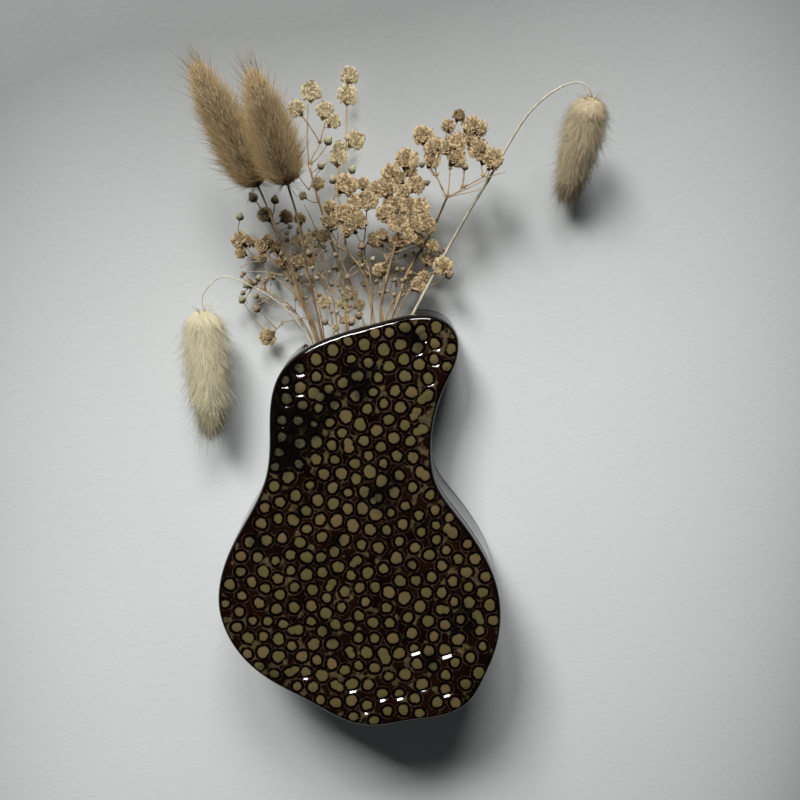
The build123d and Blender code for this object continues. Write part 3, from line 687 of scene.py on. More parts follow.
    # the inner face
    last = loops[-1][:, [0, 2]]
    grid = lattice[::37]
    grid = grid[edge_distance(grid, EDGE) > 3.0]
    made = geometry.delaunay_2d_cdt([Vector(v) for v in np.vstack([last, grid]).tolist()], edges, [], 1, 1e-7)
    q, back = np.array([v[:] for v in made[0]]), np.array(made[2])
    a, b, c = q[back[:, 0]], q[back[:, 1]], q[back[:, 2]]
    turn = (b[:, 0] - a[:, 0]) * (c[:, 1] - a[:, 1]) - (b[:, 1] - a[:, 1]) * (c[:, 0] - a[:, 0])
    back[turn > 0] = back[turn > 0][:, ::-1]
    lookup = np.full(len(q), -1)
    for v, o in enumerate(made[3]):
        for k in o:
            if k < n:
                lookup[v] = base + (len(loops) - 1) * n + k
    free = np.flatnonzero(lookup < 0)
    lookup[free] = shape.n + np.arange(len(free))
    shape.add(np.column_stack([q[free, 0], y_front(q[free, 1]) + FRONT_T / math.cos(TILT), q[free, 1]]), np.zeros((0, 3), int), dot=3.0, gap=3.0, tone=0.5, edge=0.0, shade=0.3)
    shape.f.append(np.vstack([*quads, lookup[back]]))
    return shape


front = front_skin().build("front_slab_skin", GLAZE_FRONT)
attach(front, "vase")
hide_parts("front_slab")


def wall_skin(name, start, stop):
    """A clay strip along the outline from index start to stop."""
    index = np.arange(start, stop + 1, 2) % EDGE_N
    p, q = EDGE[index], EDGE[index] + INWARD[index] * WALL_T
    yf = y_front(p[:, 1]) + FRONT_T / math.cos(TILT)
    yq = y_front(q[:, 1]) + FRONT_T / math.cos(TILT)
    loop = []
    for s in np.linspace(0, 1, 8):
        loop.append(np.column_stack([p[:, 0], -BACK_T + (yf + BACK_T) * s, p[:, 1]]))
    for s in np.linspace(0, 1, 6):
        loop.append(np.column_stack([q[:, 0], yq + (-BACK_T - yq) * s, q[:, 1]]))
    k, n = len(loop), len(index)
    verts = np.stack(loop, 1).reshape(-1, 3)
    tri = []
    for i in range(n - 1):
        for j in range(k):
            a, b = i * k + j, i * k + (j + 1) % k
            c, d = a + k, b + k
            tri += [(a, d, b), (a, c, d)]
    ends = np.array([loop_mean for loop_mean in (verts[:k].mean(0), verts[-k:].mean(0))])
    first, last = len(verts), len(verts) + 1
    for j in range(k):
        tri += [(first, j, (j + 1) % k), (last, (n - 1) * k + (j + 1) % k, (n - 1) * k + j)]
    shape = Shape()
    shape.add(np.vstack([verts, ends]), tri)
    return shape.build(name, GLAZE)


def nearest_index(x, z):
    return int(np.argmin(np.hypot(EDGE[:, 0] - x, EDGE[:, 1] - z)))


mouth_right, bottom, mouth_left = nearest_index(20.6, 43.1), nearest_index(SEAM_X, -114.0), nearest_index(-23.4, 29.3)
if mouth_left < bottom:
    mouth_left += EDGE_N
right_wall = wall_skin("right_wall_skin", mouth_right, bottom)
left_wall = wall_skin("left_wall_skin", bottom, mouth_left)
for piece, node in ((right_wall, "right_wall"), (left_wall, "left_wall")):
    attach(piece, "vase")
    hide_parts(node)


def back_skin():
    x, z = EDGE[:, 0], EDGE[:, 1]
    drop = 4.0 * smooth(-23.0, -20.0, x) * (1 - smooth(17.5, 20.5, x)) * (z > 20)
    p = np.column_stack([x, z - drop])[::2]
    n = len(p)
    hole = np.array([(4.0 * math.cos(a), 4.0 * math.sin(a)) for a in np.linspace(0, 2 * np.pi, 64, endpoint=False)])
    m = len(hole)
    rng = np.random.default_rng(8)
    grid = np.stack([rng.uniform(-55, 53, 2500), rng.uniform(-113, 43, 2500)], 1)
    grid = grid[inside(grid, p)]
    grid = grid[(edge_distance(grid, p) > 3.2) & (np.hypot(grid[:, 0], grid[:, 1]) > 6.5)]

    def ring(points, off):
        t = unit(np.roll(points, -1, 0) - np.roll(points, 1, 0))
        return points + np.stack([t[:, 1], -t[:, 0]], 1) * off

    shape = Shape()

    def flat(y, off, front):
        rim, eye = ring(p, off), hole * (1 + off / 4.0)
        pts = np.vstack([rim, eye, grid])
        edges = [(i, (i + 1) % n) for i in range(n)] + [(n + i, n + (i + 1) % m) for i in range(m)]
        made = geometry.delaunay_2d_cdt([Vector(v) for v in pts.tolist()], edges, [], 1, 1e-7)
        q, tri = np.array([v[:] for v in made[0]]), np.array(made[2])
        mid = q[tri].mean(1)
        tri = tri[np.hypot(mid[:, 0], mid[:, 1]) > 4.0 + off - 0.02]
        a, b, c = q[tri[:, 0]], q[tri[:, 1]], q[tri[:, 2]]
        turn = (b[:, 0] - a[:, 0]) * (c[:, 1] - a[:, 1]) - (b[:, 1] - a[:, 1]) * (c[:, 0] - a[:, 0])
        wrong = turn < 0 if front else turn > 0
        tri[wrong] = tri[wrong][:, ::-1]
        order = np.zeros(n + m, int)
        for v, o in enumerate(made[3]):
            for k in o:
                if k < n + m:
                    order[k] = shape.n + v
        shape.add(np.column_stack([q[:, 0], np.full(len(q), y), q[:, 1]]), tri)
        return order

    soft = 1.0
    front_order = flat(-BACK_T, 0.0, True)
    back_order = flat(0.0, soft, False)
    sides = []
    for points, lo, hi, sign in ((p, 0, n, 1), (hole, n, n + m, -1)):
        rows = [front_order[lo:hi]]
        for off, y in ((0.0, -BACK_T * 0.66), (0.0, -soft), (0.3 * soft, -0.3 * soft)):
            q = ring(points, off) if sign > 0 else points * (1 + off / 4.0)
            rows.append(shape.n + np.arange(len(q)))
            shape.add(np.column_stack([q[:, 0], np.full(len(q), y), q[:, 1]]), np.zeros((0, 3), int))
        rows.append(back_order[lo:hi])
        for r0, r1 in zip(rows, rows[1:]):
            a, b, c, d = r0, np.roll(r0, -1), r1, np.roll(r1, -1)
            two = [np.column_stack([a, b, d]), np.column_stack([a, d, c])]
            sides += two
    shape.f.append(np.vstack(sides))
    return shape.build("back_slab_skin", GLAZE)


back = back_skin()
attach(back, "vase")
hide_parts("back_slab")

# ------------------------------------------------------------------ bunny tail grasses

GRASSES = {
    "tan_left": {
        "path": [(-5.8, -10.8, -11.5), (-17.9, -10.8, 32.7), (-21.4, -11.2, 43.5), (-26.0, -14.0, 59.7), (-30.7, -17.5, 73.9)],
        "head": ((-36.4, -21.3, 90.3), (-54.3, -31.0, 129.4)),
        "stem": (0.56, 0.46, 0.38, 0.36), "reach": 10.4, "hair": 9.2, "awns": 300, "seed": 3, "pale": False, "tip": 0.36, "coarse": 0.24,
    },
    "tan_right": {
        "path": [(-10.5, -9.3, -7.8), (-15.7, -9.3, 33.2), (-17.3, -11.0, 43.5), (-20.2, -16.0, 60.6), (-22.1, -21.5, 77.0)],
        "head": ((-25.2, -26.3, 91.0), (-34.3, -37.0, 125.9)),
        "stem": (0.56, 0.46, 0.38, 0.36), "reach": 10.4, "hair": 9.0, "awns": 270, "seed": 4, "pale": False, "tip": 0.16, "coarse": 0.24,
    },
    "pale_left": {
        "path": [(2.3, -12.3, -6.9), (-20.1, -12.3, 32.5), (-25.2, -12.4, 40.6), (-32.8, -13.0, 48.3), (-44.5, -14.0, 55.2), (-52.6, -14.0, 57.1), (-59.3, -14.0, 51.1)],
        "head": ((-60.0, -14.0, 44.3), (-59.2, -14.0, 1.7)),
        "stem": (0.45, 0.28, 0.18, 0.18), "reach": 10.2, "hair": 9.8, "awns": 240, "seed": 5, "pale": True, "coarse": 0.22,
    },
    "pale_right": {
        "path": [(-3.4, -9.3, -3.7), (19.9, -9.3, 43.6), (34.8, -12.5, 72.1), (46.3, -16.5, 92.4), (59.9, -21.5, 115.5), (73.8, -24.0, 125.0)],
        "head": ((81.0, -24.0, 120.0), (77.2, -8.0, 89.4)),
        "stem": (0.75, 0.52, 0.22, 0.20), "reach": 9.2, "hair": 8.2, "awns": 180, "seed": 6, "pale": True, "coarse": 0.20,
    },
}


def frame_of(axis):
    side = unit(np.cross(axis, (0.31, 0.9, 0.12)))
    return side, np.cross(axis, side)


def head_width(u, blunt):
    """Share of the widest, from the base (0) to the tip (1)."""
    foot = np.sqrt(np.clip(1 - (1 - np.clip(u, 0, 0.26) / 0.26) ** 2, 0, 1))
    return np.where(u < 0.26, foot, 1 - (np.clip(u - 0.26, 0, None) / (0.86 if blunt else 0.80)) ** (2.2 if blunt else 1.8))


def grass_hairs(g):
    """Long fine hairs over the head, each a tapered three-sided strand: the coarse ones, and the sheer down that light passes."""
    r = np.random.default_rng(g["seed"] * 101)
    base, tip = np.array(g["head"][0]), np.array(g["head"][1])
    long = np.linalg.norm(tip - base)
    axis = (tip - base) / long
    e1, e2 = frame_of(axis)
    pale = g["pale"]
    long = long if pale else 0.93 * long
    tufts, per = (2500, 5) if pale else (2800, 5)
    loose = 1.2
    u0 = 0.015 + 0.97 * (np.arange(tufts) + 0.5) / tufts
    turn0 = np.arange(tufts) * 2.39996 + r.normal(0, 0.3, tufts)
    lean0 = r.normal(0, 0.12, tufts)
    u = np.repeat(u0, per) + r.normal(0, 0.010 * loose, tufts * per)
    turn = np.repeat(turn0, per) + r.normal(0, 0.20 * loose, tufts * per)
    size = g["hair"] * np.clip(np.repeat(r.normal(1.0, 0.13, tufts), per) * r.normal(0.90, 0.18, tufts * per), 0.3, 1.5)
    tone = np.clip(np.repeat(r.uniform(0, 0.35, tufts), per) + np.abs(r.normal(0.0, 0.30 if pale else 0.20, tufts * per)), 0, 0.9)
    thick = r.uniform(0.034, 0.056, tufts * per)
    # leaning out at the foot of the head, closing towards the tip
    stops = (0.0, 0.05, 0.12, 0.25, 0.60, 0.85, 1.0)
    tilt = np.interp(u, stops, (1.15, 1.08, 0.98, 0.84, 0.66, 0.48, 0.28) if pale else (1.10, 1.02, 0.92, 0.80, 0.66, 0.50, g["tip"]))
    tilt = tilt + np.repeat(lean0, per) + r.normal(0, 0.15 * loose, tufts * per)
    size = size * np.interp(u, stops, (0.45, 0.66, 0.88, 1.0, 1.02, 1.0, 0.95) if pale else (0.55, 0.74, 0.92, 1.0, 0.94, 0.80, 0.62))
    # a round crown of shorter hairs about the stalk
    k = 1800 if pale else 900
    ang = r.uniform(0.80, 1.55, k) if pale else r.uniform(0.70, 1.30, k)
    dome = 0.95 * g["reach"]
    u = np.concatenate([u, r.uniform(0.0, 0.035, k)])
    turn = np.concatenate([turn, r.uniform(0, 2 * np.pi, k)])
    tilt = np.concatenate([tilt, ang + 0.10])
    size = np.concatenate([size, dome * (0.95 * np.cos(ang) + np.sqrt(1 - (0.95 * np.sin(ang)) ** 2)) * np.clip(r.normal(0.82, 0.12, k) if pale else r.normal(0.70, 0.20, k), 0.3, 1.1)])
    tone = np.concatenate([tone, r.uniform(0, 0.35, k)])
    thick = np.concatenate([thick, r.uniform(0.034, 0.055, k)])
    # long awns stand out of the fur
    k = g["awns"]
    ua = 1 - 0.97 * r.uniform(0, 1, k) ** 1.3
    u = np.concatenate([u, ua])
    turn = np.concatenate([turn, r.uniform(0, 2 * np.pi, k)])
    tilt = np.concatenate([tilt, np.interp(ua, (0.0, 0.3, 0.8, 1.0), (1.3, 0.95, 0.70, 0.55)) * r.uniform(0.3, 1.25, k)])
    size = np.concatenate([size, g["hair"] * r.uniform(1.20, 1.85, k)])
    tone = np.concatenate([tone, r.uniform(0.0, 0.4, k) if pale else r.uniform(0.45, 1.0, k)])
    thick = np.concatenate([thick, r.uniform(0.040, 0.065, k) if pale else r.uniform(0.046, 0.072, k)])
    # a few stray ones point back along the stalk
    k = 26
    u = np.concatenate([u, r.uniform(0.0, 0.03, k)])
    turn = np.concatenate([turn, r.uniform(0, 2 * np.pi, k)])
    tilt = np.concatenate([tilt, r.uniform(1.9, 2.7, k)])
    size = np.concatenate([size, g["hair"] * r.uniform(0.5, 0.95, k)])
    tone = np.concatenate([tone, r.uniform(0.3, 0.9, k)])
    thick = np.concatenate([thick, r.uniform(0.055, 0.075, k)])
    u = np.clip(u, 0.0, 0.99)
    n = len(u)
    core = 0.34 * g["reach"] * head_width(u, pale)
    out = np.cos(turn)[:, None] * e1 + np.sin(turn)[:, None] * e2
    segs = 3
    points = np.empty((n, segs + 1, 3))
    points[:, 0] = base + axis * (u * long)[:, None] + out * core[:, None]
    curl = r.normal(0.36, 0.20, n)
    sway = unit(np.cross(axis, out)) * r.normal(0, 0.22, n)[:, None]
    droop = np.array((0.0, 0.0, -1.0))
    for s in range(segs):
        share = (s + 0.5) / segs
        bend = tilt - curl * share
        way = axis * np.cos(bend)[:, None] + out * np.sin(bend)[:, None] + sway * share + droop * 0.10 * share
        points[:, s + 1] = points[:, s] + unit(way) * (size / segs)[:, None]
    points[..., 1] = np.minimum(points[..., 1], -0.3)  # the wall stops them
    foot = np.clip((points - base) @ axis, 0.16 * long, 0.80 * long)
    soft = unit(unit(points - base - foot[..., None] * axis) + 0.9 * np.array((-0.2, -0.75, 0.6)))
    tangent = unit(points[:, -1] - points[:, 0])
    s1 = unit(np.cross(tangent, r.normal(size=(n, 3))))
    s2 = np.cross(tangent, s1)
    width = thick[:, None] * np.array((1.0, 0.9, 0.6))[None]
    ring = [(math.cos(a), math.sin(a)) for a in (0.0, 2 * math.pi / 3, 4 * math.pi / 3)]
    verts = np.empty((n, segs * 3 + 1, 3))
    for s in range(segs):
        for c, (ca, sa) in enumerate(ring):
            verts[:, s * 3 + c] = points[:, s] + width[:, s : s + 1] * (ca * s1 + sa * s2)
    verts[:, -1] = points[:, -1]
    one = []
    for s in range(segs - 1):
        for c in range(3):
            a, b = s * 3 + c, s * 3 + (c + 1) % 3
            one += [(a, b, b + 3), (a, b + 3, a + 3)]
    top = (segs - 1) * 3
    one += [(top + c, top + (c + 1) % 3, segs * 3) for c in range(3)]
    one += [(2, 1, 0)]
    made = []
    coarse = r.uniform(size=n) < g["coarse"]
    for keep in (np.flatnonzero(coarse), np.flatnonzero(~coarse)):
        k = len(keep)
        tri = np.array(one)[None] + (np.arange(k) * (segs * 3 + 1))[:, None, None]
        share = np.tile(np.append(np.repeat(np.arange(segs) / segs, 3), 1.0), k)
        shape = Shape("along", "tone")
        face = np.concatenate([np.repeat(soft[keep, :segs], 3, axis=1), soft[keep, segs:]], 1)
        shape.add(verts[keep].reshape(-1, 3), tri.reshape(-1, 3), soft=face, along=share, tone=np.repeat(tone[keep], segs * 3 + 1))
        # one small cell of the map for each hair
        wide = int(math.ceil(math.sqrt(k)))
        cell = np.column_stack([np.arange(k) % wide, np.arange(k) // wide])
        local_u = np.tile(np.append(np.tile((0.15, 0.5, 0.85), segs), 0.5), k)
        made.append((shape, (np.repeat(cell, segs * 3 + 1, 0) + np.column_stack([local_u, 0.1 + 0.8 * share])) / wide))
    return made


def grass_core(g):
    """The spike under the hairs: overlapping pointed scales round a rachis."""
    r = np.random.default_rng(g["seed"] * 77)
    base, tip = np.array(g["head"][0]), np.array(g["head"][1])
    long = np.linalg.norm(tip - base)
    axis = (tip - base) / long
    e1, e2 = frame_of(axis)
    shape = Shape("along", "tone")
    us = np.linspace(0.0, 0.88, 26)
    path = base + axis * (us * long)[:, None]
    radius = np.maximum(0.30 * g["reach"] * head_width(np.clip(us, 0.02, 1), g["pale"]), 0.5)
    verts, tri, along = sweep(path, radius, 14)
    shape.add(verts, tri, along=0.2, tone=0.5)
    scales = 260
    for i in range(scales):
        u = 0.01 + 0.86 * (i + 0.5) / scales
        a = i * 2.39996
        out = math.cos(a) * e1 + math.sin(a) * e2
        side = np.cross(axis, out)
        rad = 0.27 * g["reach"] * float(head_width(np.array(u), g["pale"]))
        root = base + axis * (u * long) + out * rad
        way = unit(axis + out * (0.55 if u > 0.05 else 1.4))
        size = 4.2 * r.uniform(0.8, 1.2)
        rows = []
        for s, w, lift in ((0.0, 0.35, 0.0), (0.35, 0.85, 0.25), (0.7, 0.6, 0.32), (1.0, 0.05, 0.30)):
            mid = root + way * size * s + out * lift
            rows += [mid - side * w * 0.8, mid + out * 0.28 * w, mid + side * w * 0.8]
        face = []
        for s in range(3):
            for c in range(2):
                a0, b0 = s * 3 + c, s * 3 + c + 1
                face += [(a0, b0, b0 + 3), (a0, b0 + 3, a0 + 3)]
        shape.add(rows, face, along=np.repeat((0.2, 0.5, 0.8, 1.0), 3), tone=r.uniform(0, 0.7))
    return shape


for name, g in GRASSES.items():
    head0, head1 = np.array(g["head"][0]), np.array(g["head"][1])
    low = list(g["path"][:2])
    run = catmull([*g["path"][1:], g["head"][0], head0 + (head1 - head0) * 0.55], 9)
    path = np.vstack([np.linspace(low[0], low[1], 14)[:-1], run])
    share = np.linspace(0, 1, len(path))
    rng = np.random.default_rng(g["seed"])
    radius = np.interp(share, (0.0, 0.4, 0.8, 1.0), g["stem"]) * (1 + 0.04 * np.sin(share * 60 + g["seed"]))
    for knot in (0.18, 0.46):  # grass nodes
        radius = radius * (1 + 0.35 * np.exp(-(((share - knot) / 0.008) ** 2)))
    shape = Shape("along")
    verts, tri, along = sweep(path, radius, 10)
    shape.add(verts, tri, along=along)
    stem = shape.build(name + "_stem_skin", STRAW_PALE if g["pale"] else STRAW_TAN)
    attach(stem, name)
    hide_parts(name + "_stem")
    core = grass_core(g).build(name + "_head_spike", CORE_PALE if g["pale"] else CORE_TAN)
    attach(core, name)
    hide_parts(name + "_head")
    for (shape, uv), end in zip(grass_hairs(g), ("_head_hairs", "_head_down")):
        # pale_right gets the pale hair painted darker, as painted shade
        fur = shape.build(name + end, {"pale_left": HAIR_PALE, "pale_right": HAIR_PALE_SHADED}.get(name, HAIR_TAN), uv)
        fur.visible_shadow = end == "_head_hairs"
        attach(fur, name)

# ------------------------------------------------------------------ gypsophila sprigs
# Each sprig: its main stem, its twigs, its blooms, and smaller flowers placed by picture pixel
# as (px, py, radius in px, depth y, kind).

SPRIGS = {
    "sprig_low": {
        "whips": [(-7.3, (280, 270), (268, 256), (258, 238)), (-7.0, (268, 262), (252, 262), (240, 268)), (-7.2, (292, 284), (280, 262), (270, 236)), (-6.9, (286, 276), (264, 272), (246, 272)), (-7.0, (304, 300), (298, 276), (290, 250)), (-6.3, (274, 296), (262, 302), (252, 308)), (-7.2, (308, 282), (304, 262), (306, 248)), (-7.1, (300, 290), (288, 268), (284, 252)), (-6.3, (252, 288), (246, 298), (248, 304)), (-6.4, (296, 310), (276, 306), (262, 300))],
        "tone": (0.30, 0.62),
        "stalks": [((-5.2, -7.3), (318, 338), (306, 305), (292, 278), (276, 262), (262, 250)), ((-5.2, -6.4), (312, 341), (300, 318), (284, 300), (268, 292), (250, 287)), ((-6.2, -7.6), (324, 337), (318, 300), (312, 270), (308, 246)), ((-5.4, -7.4), (316, 340), (300, 300), (284, 268), (276, 247))],
        "path": [(-14.5, -5.6, -21.5), (-17.6, -5.6, 32.1), (-20.8, -6.5, 40.5), (-24.8, -6.7, 48.7), (-26.0, -7.0, 59.0), (-29.5, -7.4, 67.3)],
        "twigs": [((-24.8, -6.7, 48.7), (-34.6, -6.8, 56.8)), ((-34.6, -6.8, 56.8), (-38.1, -7.1, 62.0)), ((-38.1, -7.1, 62.0), (-45.4, -7.4, 69.2)), ((-29.5, -7.4, 67.3), (-34.4, -7.8, 77.1)), ((-34.4, -7.8, 77.1), (-32.3, -8.2, 84.0)), ((-34.4, -7.8, 77.1), (-39.7, -8.2, 85.1)), ((-34.6, -6.8, 56.8), (-43.1, -6.5, 52.9)), ((-21.2, -6.6, 41.3), (-31.0, -5.8, 38.9)), ((-31.0, -5.8, 38.9), (-37.1, -5.6, 33.3)), ((-29.5, -7.4, 67.3), (-37.1, -7.4, 68.1))],
        "blooms": [((-45.7, -7.5, 70.3), 3.0, "open"), ((-32.3, -8.2, 85.1), 1.9, "pod"), ((-40.4, -8.3, 85.9), 2.2, "bud"), ((-43.5, -6.6, 53.7), 2.4, "bud"), ((-37.1, -5.5, 32.9), 3.0, "open"), ((-37.5, -7.4, 68.1), 2.6, "open")],
        "more": [(240, 217, 4.5, -7.9, "bud"), (265, 215, 9, -8.1, "open"), (268, 240, 7, -7.7, "open"), (258, 278, 3.5, -6.7, "bud"), (243, 293, 3, -6.2, "bud"), (242, 300, 4.5, -6.0, "bud"), (256, 296, 3.5, -6.2, "bud"), (257, 309, 4.5, -6.0, "pod"), (290, 227, 3, -7.9, "bud"), (287, 233, 3, -7.8, "bud"), (299, 231, 4, -7.9, "bud"), (309, 253, 4, -7.6, "bud"), (241, 253, 7, -7.1, "open"), (251, 242, 6, -7.3, "open"), (262, 258, 6, -7.3, "open"), (281, 262, 6, -7.5, "stained_and_shaded"), (276, 247, 7, -7.5, "stained_and_shaded"), (298, 262, 8, -7.6, "stained_and_shaded"), (311, 262, 6, -7.7, "stained_and_shaded"), (286, 217, 8, -7.9, "stained_and_shaded"), (300, 219, 7, -7.9, "stained_and_shaded")],
    },
    "sprig_top": {
        "whips": [(-8.2, (309, 190), (318, 172), (330, 160)), (-8.1, (309, 190), (300, 178), (296, 168)), (-8.3, (318, 236), (312, 220), (304, 204)), (-8.5, (326, 262), (336, 246), (338, 232)), (-8.5, (322, 258), (312, 240), (304, 232)), (-6.8, (330, 290), (340, 276), (344, 266)), (-8.4, (326, 282), (316, 268), (314, 258))],
        "tone": (0.0, 0.25),
        "stalks": [((-5.6, -8.3), (338, 332), (333, 300), (324, 262), (318, 236)), ((-6.2, -4.6), (346, 330), (345, 310), (350, 294)), ((-5.6, -8.3), (334, 333), (327, 296), (314, 262), (306, 240))],
        "path": [(-11.3, -5.6, -21.5), (-5.8, -5.6, 37.2), (-6.8, -4.6, 49.2), (-9.3, -6.5, 62.0), (-12.4, -8.1, 72.2), (-16.2, -8.0, 85.8), (-19.3, -8.0, 97.7)],
        "twigs": [((-19.3, -8.0, 97.7), (-19.1, -8.0, 120.7)), ((-19.3, -8.0, 97.7), (-15.0, -8.0, 105.5)), ((-15.0, -8.0, 105.5), (-12.7, -8.0, 113.6)), ((-15.0, -8.0, 105.5), (-22.2, -10.6, 116.3)), ((-19.3, -8.0, 97.7), (-12.2, -7.9, 105.2)), ((-12.4, -8.1, 72.2), (-9.6, -6.5, 88.7)), ((-9.6, -6.5, 88.7), (-8.4, -4.9, 99.6)), ((-9.6, -6.5, 88.7), (-5.8, -3.7, 103.2)), ((-5.8, -3.7, 103.2), (-5.2, -3.7, 121.0)), ((-5.8, -3.7, 103.2), (-3.1, -3.7, 106.1)), ((-5.2, -3.7, 119.6), (-4.0, -3.7, 128.0))],
        "blooms": [((-17.9, -8.0, 123.4), 3.3, "open"), ((-22.9, -10.9, 117.3), 2.8, "open"), ((-13.0, -8.0, 116.8), 3.0, "open"), ((-12.1, -7.9, 106.2), 1.9, "bud"), ((-8.7, -5.3, 100.3), 3.0, "open"), ((-2.4, -3.7, 106.8), 3.2, "open"), ((-5.1, -3.7, 122.7), 3.3, "open"), ((-4.0, -3.7, 129.3), 3.0, "open")],
        "more": [(333, 121, 9, -7.4, "open"), (321, 166, 4.5, -8.0, "bud"), (318, 184, 8, -8.3, "stained_and_shaded"), (325, 303, 8, -6.9, "open"), (341, 304, 6, -5.6, "open"), (350, 294, 9, -4.7, "stained_and_shaded"), (359, 305, 7, -4.6, "stained_and_shaded"), (343, 320, 5, -5.2, "stained_and_shaded"), (351, 322, 5, -5.1, "pod"), (336, 328, 5, -6.4, "open"), (359, 316, 4.5, -4.6, "pod"), (325, 322, 4, -6.6, "pod"), (308, 240, 9, -8.5, "stained_and_shaded"), (296, 241, 7, -8.4, "stained_and_shaded"), (322, 236, 8, -8.5, "stained_and_shaded"), (303, 196, 5, -8.3, "stained_and_shaded"), (350, 98, 8, -4.0, "open"), (326, 112, 7, -8.2, "open"), (340, 148, 8, -4.4, "open")],
    },
    "sprig_mid_left": {
        "tone": (0.20, 0.50),
        "stalks": [((-7.8, -12.5), (364, 325), (354, 292), (342, 262), (336, 240)), ((-8.0, -11.0), (371, 323), (372, 290), (367, 262), (362, 246))],
        "path": [(8.1, -7.6, -20.8), (4.3, -7.6, 39.1), (3.2, -7.8, 46.5), (0.3, -9.4, 58.5), (-5.4, -12.0, 67.0), (-6.2, -15.0, 76.3)],
        "twigs": [((-6.2, -15.0, 76.3), (-8.3, -15.5, 86.7)), ((-8.3, -15.5, 86.7), (-5.3, -15.8, 89.9)), ((-8.3, -15.5, 86.7), (-9.6, -15.5, 91.7)), ((-6.2, -15.0, 76.3), (-4.0, -16.0, 78.9)), ((-5.4, -12.0, 67.0), (-10.9, -13.5, 69.6)), ((-10.9, -13.5, 69.6), (-11.8, -14.5, 76.6)), ((0.3, -9.4, 58.5), (-0.7, -11.0, 64.6)), ((-0.7, -11.0, 64.6), (1.8, -14.0, 75.9)), ((1.8, -14.0, 75.9), (2.4, -17.0, 84.2)), ((-8.3, -15.5, 86.7), (-3.0, -15.5, 95.2))],
        "blooms": [((-5.2, -16.0, 90.6), 3.5, "open"), ((-10.0, -15.5, 92.4), 1.8, "bud"), ((-3.6, -16.2, 79.6), 3.6, "open"), ((-11.8, -14.8, 77.7), 2.6, "open"), ((2.4, -17.6, 85.0), 3.4, "open"), ((-3.0, -15.5, 95.9), 1.7, "bud")],
        "more": [(363, 184, 8, -16.0, "open"), (330, 207, 8, -15.0, "open"), (332, 226, 7, -14.0, "open"), (356, 203, 10, -15.4, "open"), (372, 200, 8, -17.0, "open"), (343, 213, 10, -15.8, "open"), (358, 221, 10, -16.2, "open"), (336, 219, 8, -14.6, "open"), (347, 229, 8, -15.6, "open"), (375, 240, 9, -11.0, "stained_and_shaded"), (362, 246, 5, -12.0, "pod")],
    },
    "sprig_mid_right": {
        "tone": (0.20, 0.50),
        "stalks": [((-8.0, -10.4), (386, 319), (396, 292), (390, 270), (384, 255)), ((-8.0, -12.8), (383, 320), (380, 290), (386, 262), (398, 246))],
        "path": [(10.8, -7.6, -18.7), (7.0, -7.6, 39.5), (7.1, -8.6, 46.6), (9.5, -11.5, 56.5), (12.5, -14.5, 68.6), (14.0, -16.0, 75.2)],
        "twigs": [((14.0, -16.0, 75.2), (13.6, -16.0, 82.4)), ((13.6, -16.0, 82.4), (9.6, -16.0, 88.8)), ((13.6, -16.0, 82.4), (15.8, -16.0, 93.1)), ((15.8, -16.0, 93.1), (16.9, -16.0, 98.3)), ((15.8, -16.0, 93.1), (11.1, -16.0, 94.5)), ((13.6, -16.0, 82.4), (19.4, -16.0, 89.5)), ((12.5, -14.5, 68.6), (21.0, -15.5, 75.2)), ((21.0, -15.5, 75.2), (21.7, -16.0, 81.0)), ((21.0, -15.5, 75.2), (23.9, -16.0, 76.0)), ((9.5, -11.5, 56.5), (6.5, -11.4, 58.7))],
        "blooms": [((9.3, -16.0, 89.5), 3.6, "open"), ((16.9, -16.0, 99.4), 3.7, "open"), ((11.1, -16.2, 94.8), 3.0, "open"), ((19.8, -16.0, 90.6), 3.2, "open"), ((13.3, -17.0, 83.2), 3.5, "open"), ((21.7, -16.0, 82.1), 3.5, "open"), ((24.3, -16.0, 76.3), 3.0, "open"), ((6.1, -11.3, 59.4), 2.0, "open")],
        "more": [(376, 188, 8, -16.0, "open"), (398, 178, 9, -16.4, "open"), (410, 172, 8, -15.6, "open"), (404, 192, 9, -16.6, "open"), (398, 222, 12, -17.4, "open"), (415, 223, 11, -16.6, "open"), (385, 214, 10, -16.6, "open"), (408, 206, 10, -17.2, "open"), (390, 204, 9, -16.8, "open"), (421, 212, 9, -16.0, "open"), (428, 226, 8, -15.6, "open"), (409, 236, 9, -16.4, "open"), (427, 183, 3.5, -15.6, "pod"), (398, 242, 9, -13.0, "stained_and_shaded"), (382, 236, 8, -13.0, "stained_and_shaded"), (422, 165, 3.5, -15.6, "bud"), (432, 246, 8, -13.6, "open"), (381, 270, 8, -10.4, "open"), (418, 240, 8, -14.0, "stained_and_shaded")],
    },
    "sprig_right": {
        "whips": [(-24.0, (447, 197), (468, 188), (492, 176), (506, 172)), (-24.0, (447, 197), (470, 192), (484, 188)), (-24.0, (447, 197), (438, 180), (427, 167)), (-23.8, (486, 179), (490, 168), (488, 158)), (-24.0, (459, 192), (464, 180), (463, 170)), (-10.0, (432, 234), (420, 250), (412, 258)), (-9.7, (425, 250), (438, 262), (446, 258))],
        "tone": (0.10, 0.42),
        "stalks": [((-7.7, -9.7), (397, 317), (410, 290), (424, 270), (430, 258)), ((-7.6, -8.7), (392, 318), (398, 300), (408, 292), (418, 286))],
        "path": [(13.8, -7.6, -20.8), (10.9, -7.6, 40.5), (13.6, -8.2, 47.7), (17.4, -9.2, 58.5), (23.3, -10.1, 68.6), (28.1, -10.9, 77.9), (31.1, -24.1, 86.6)],
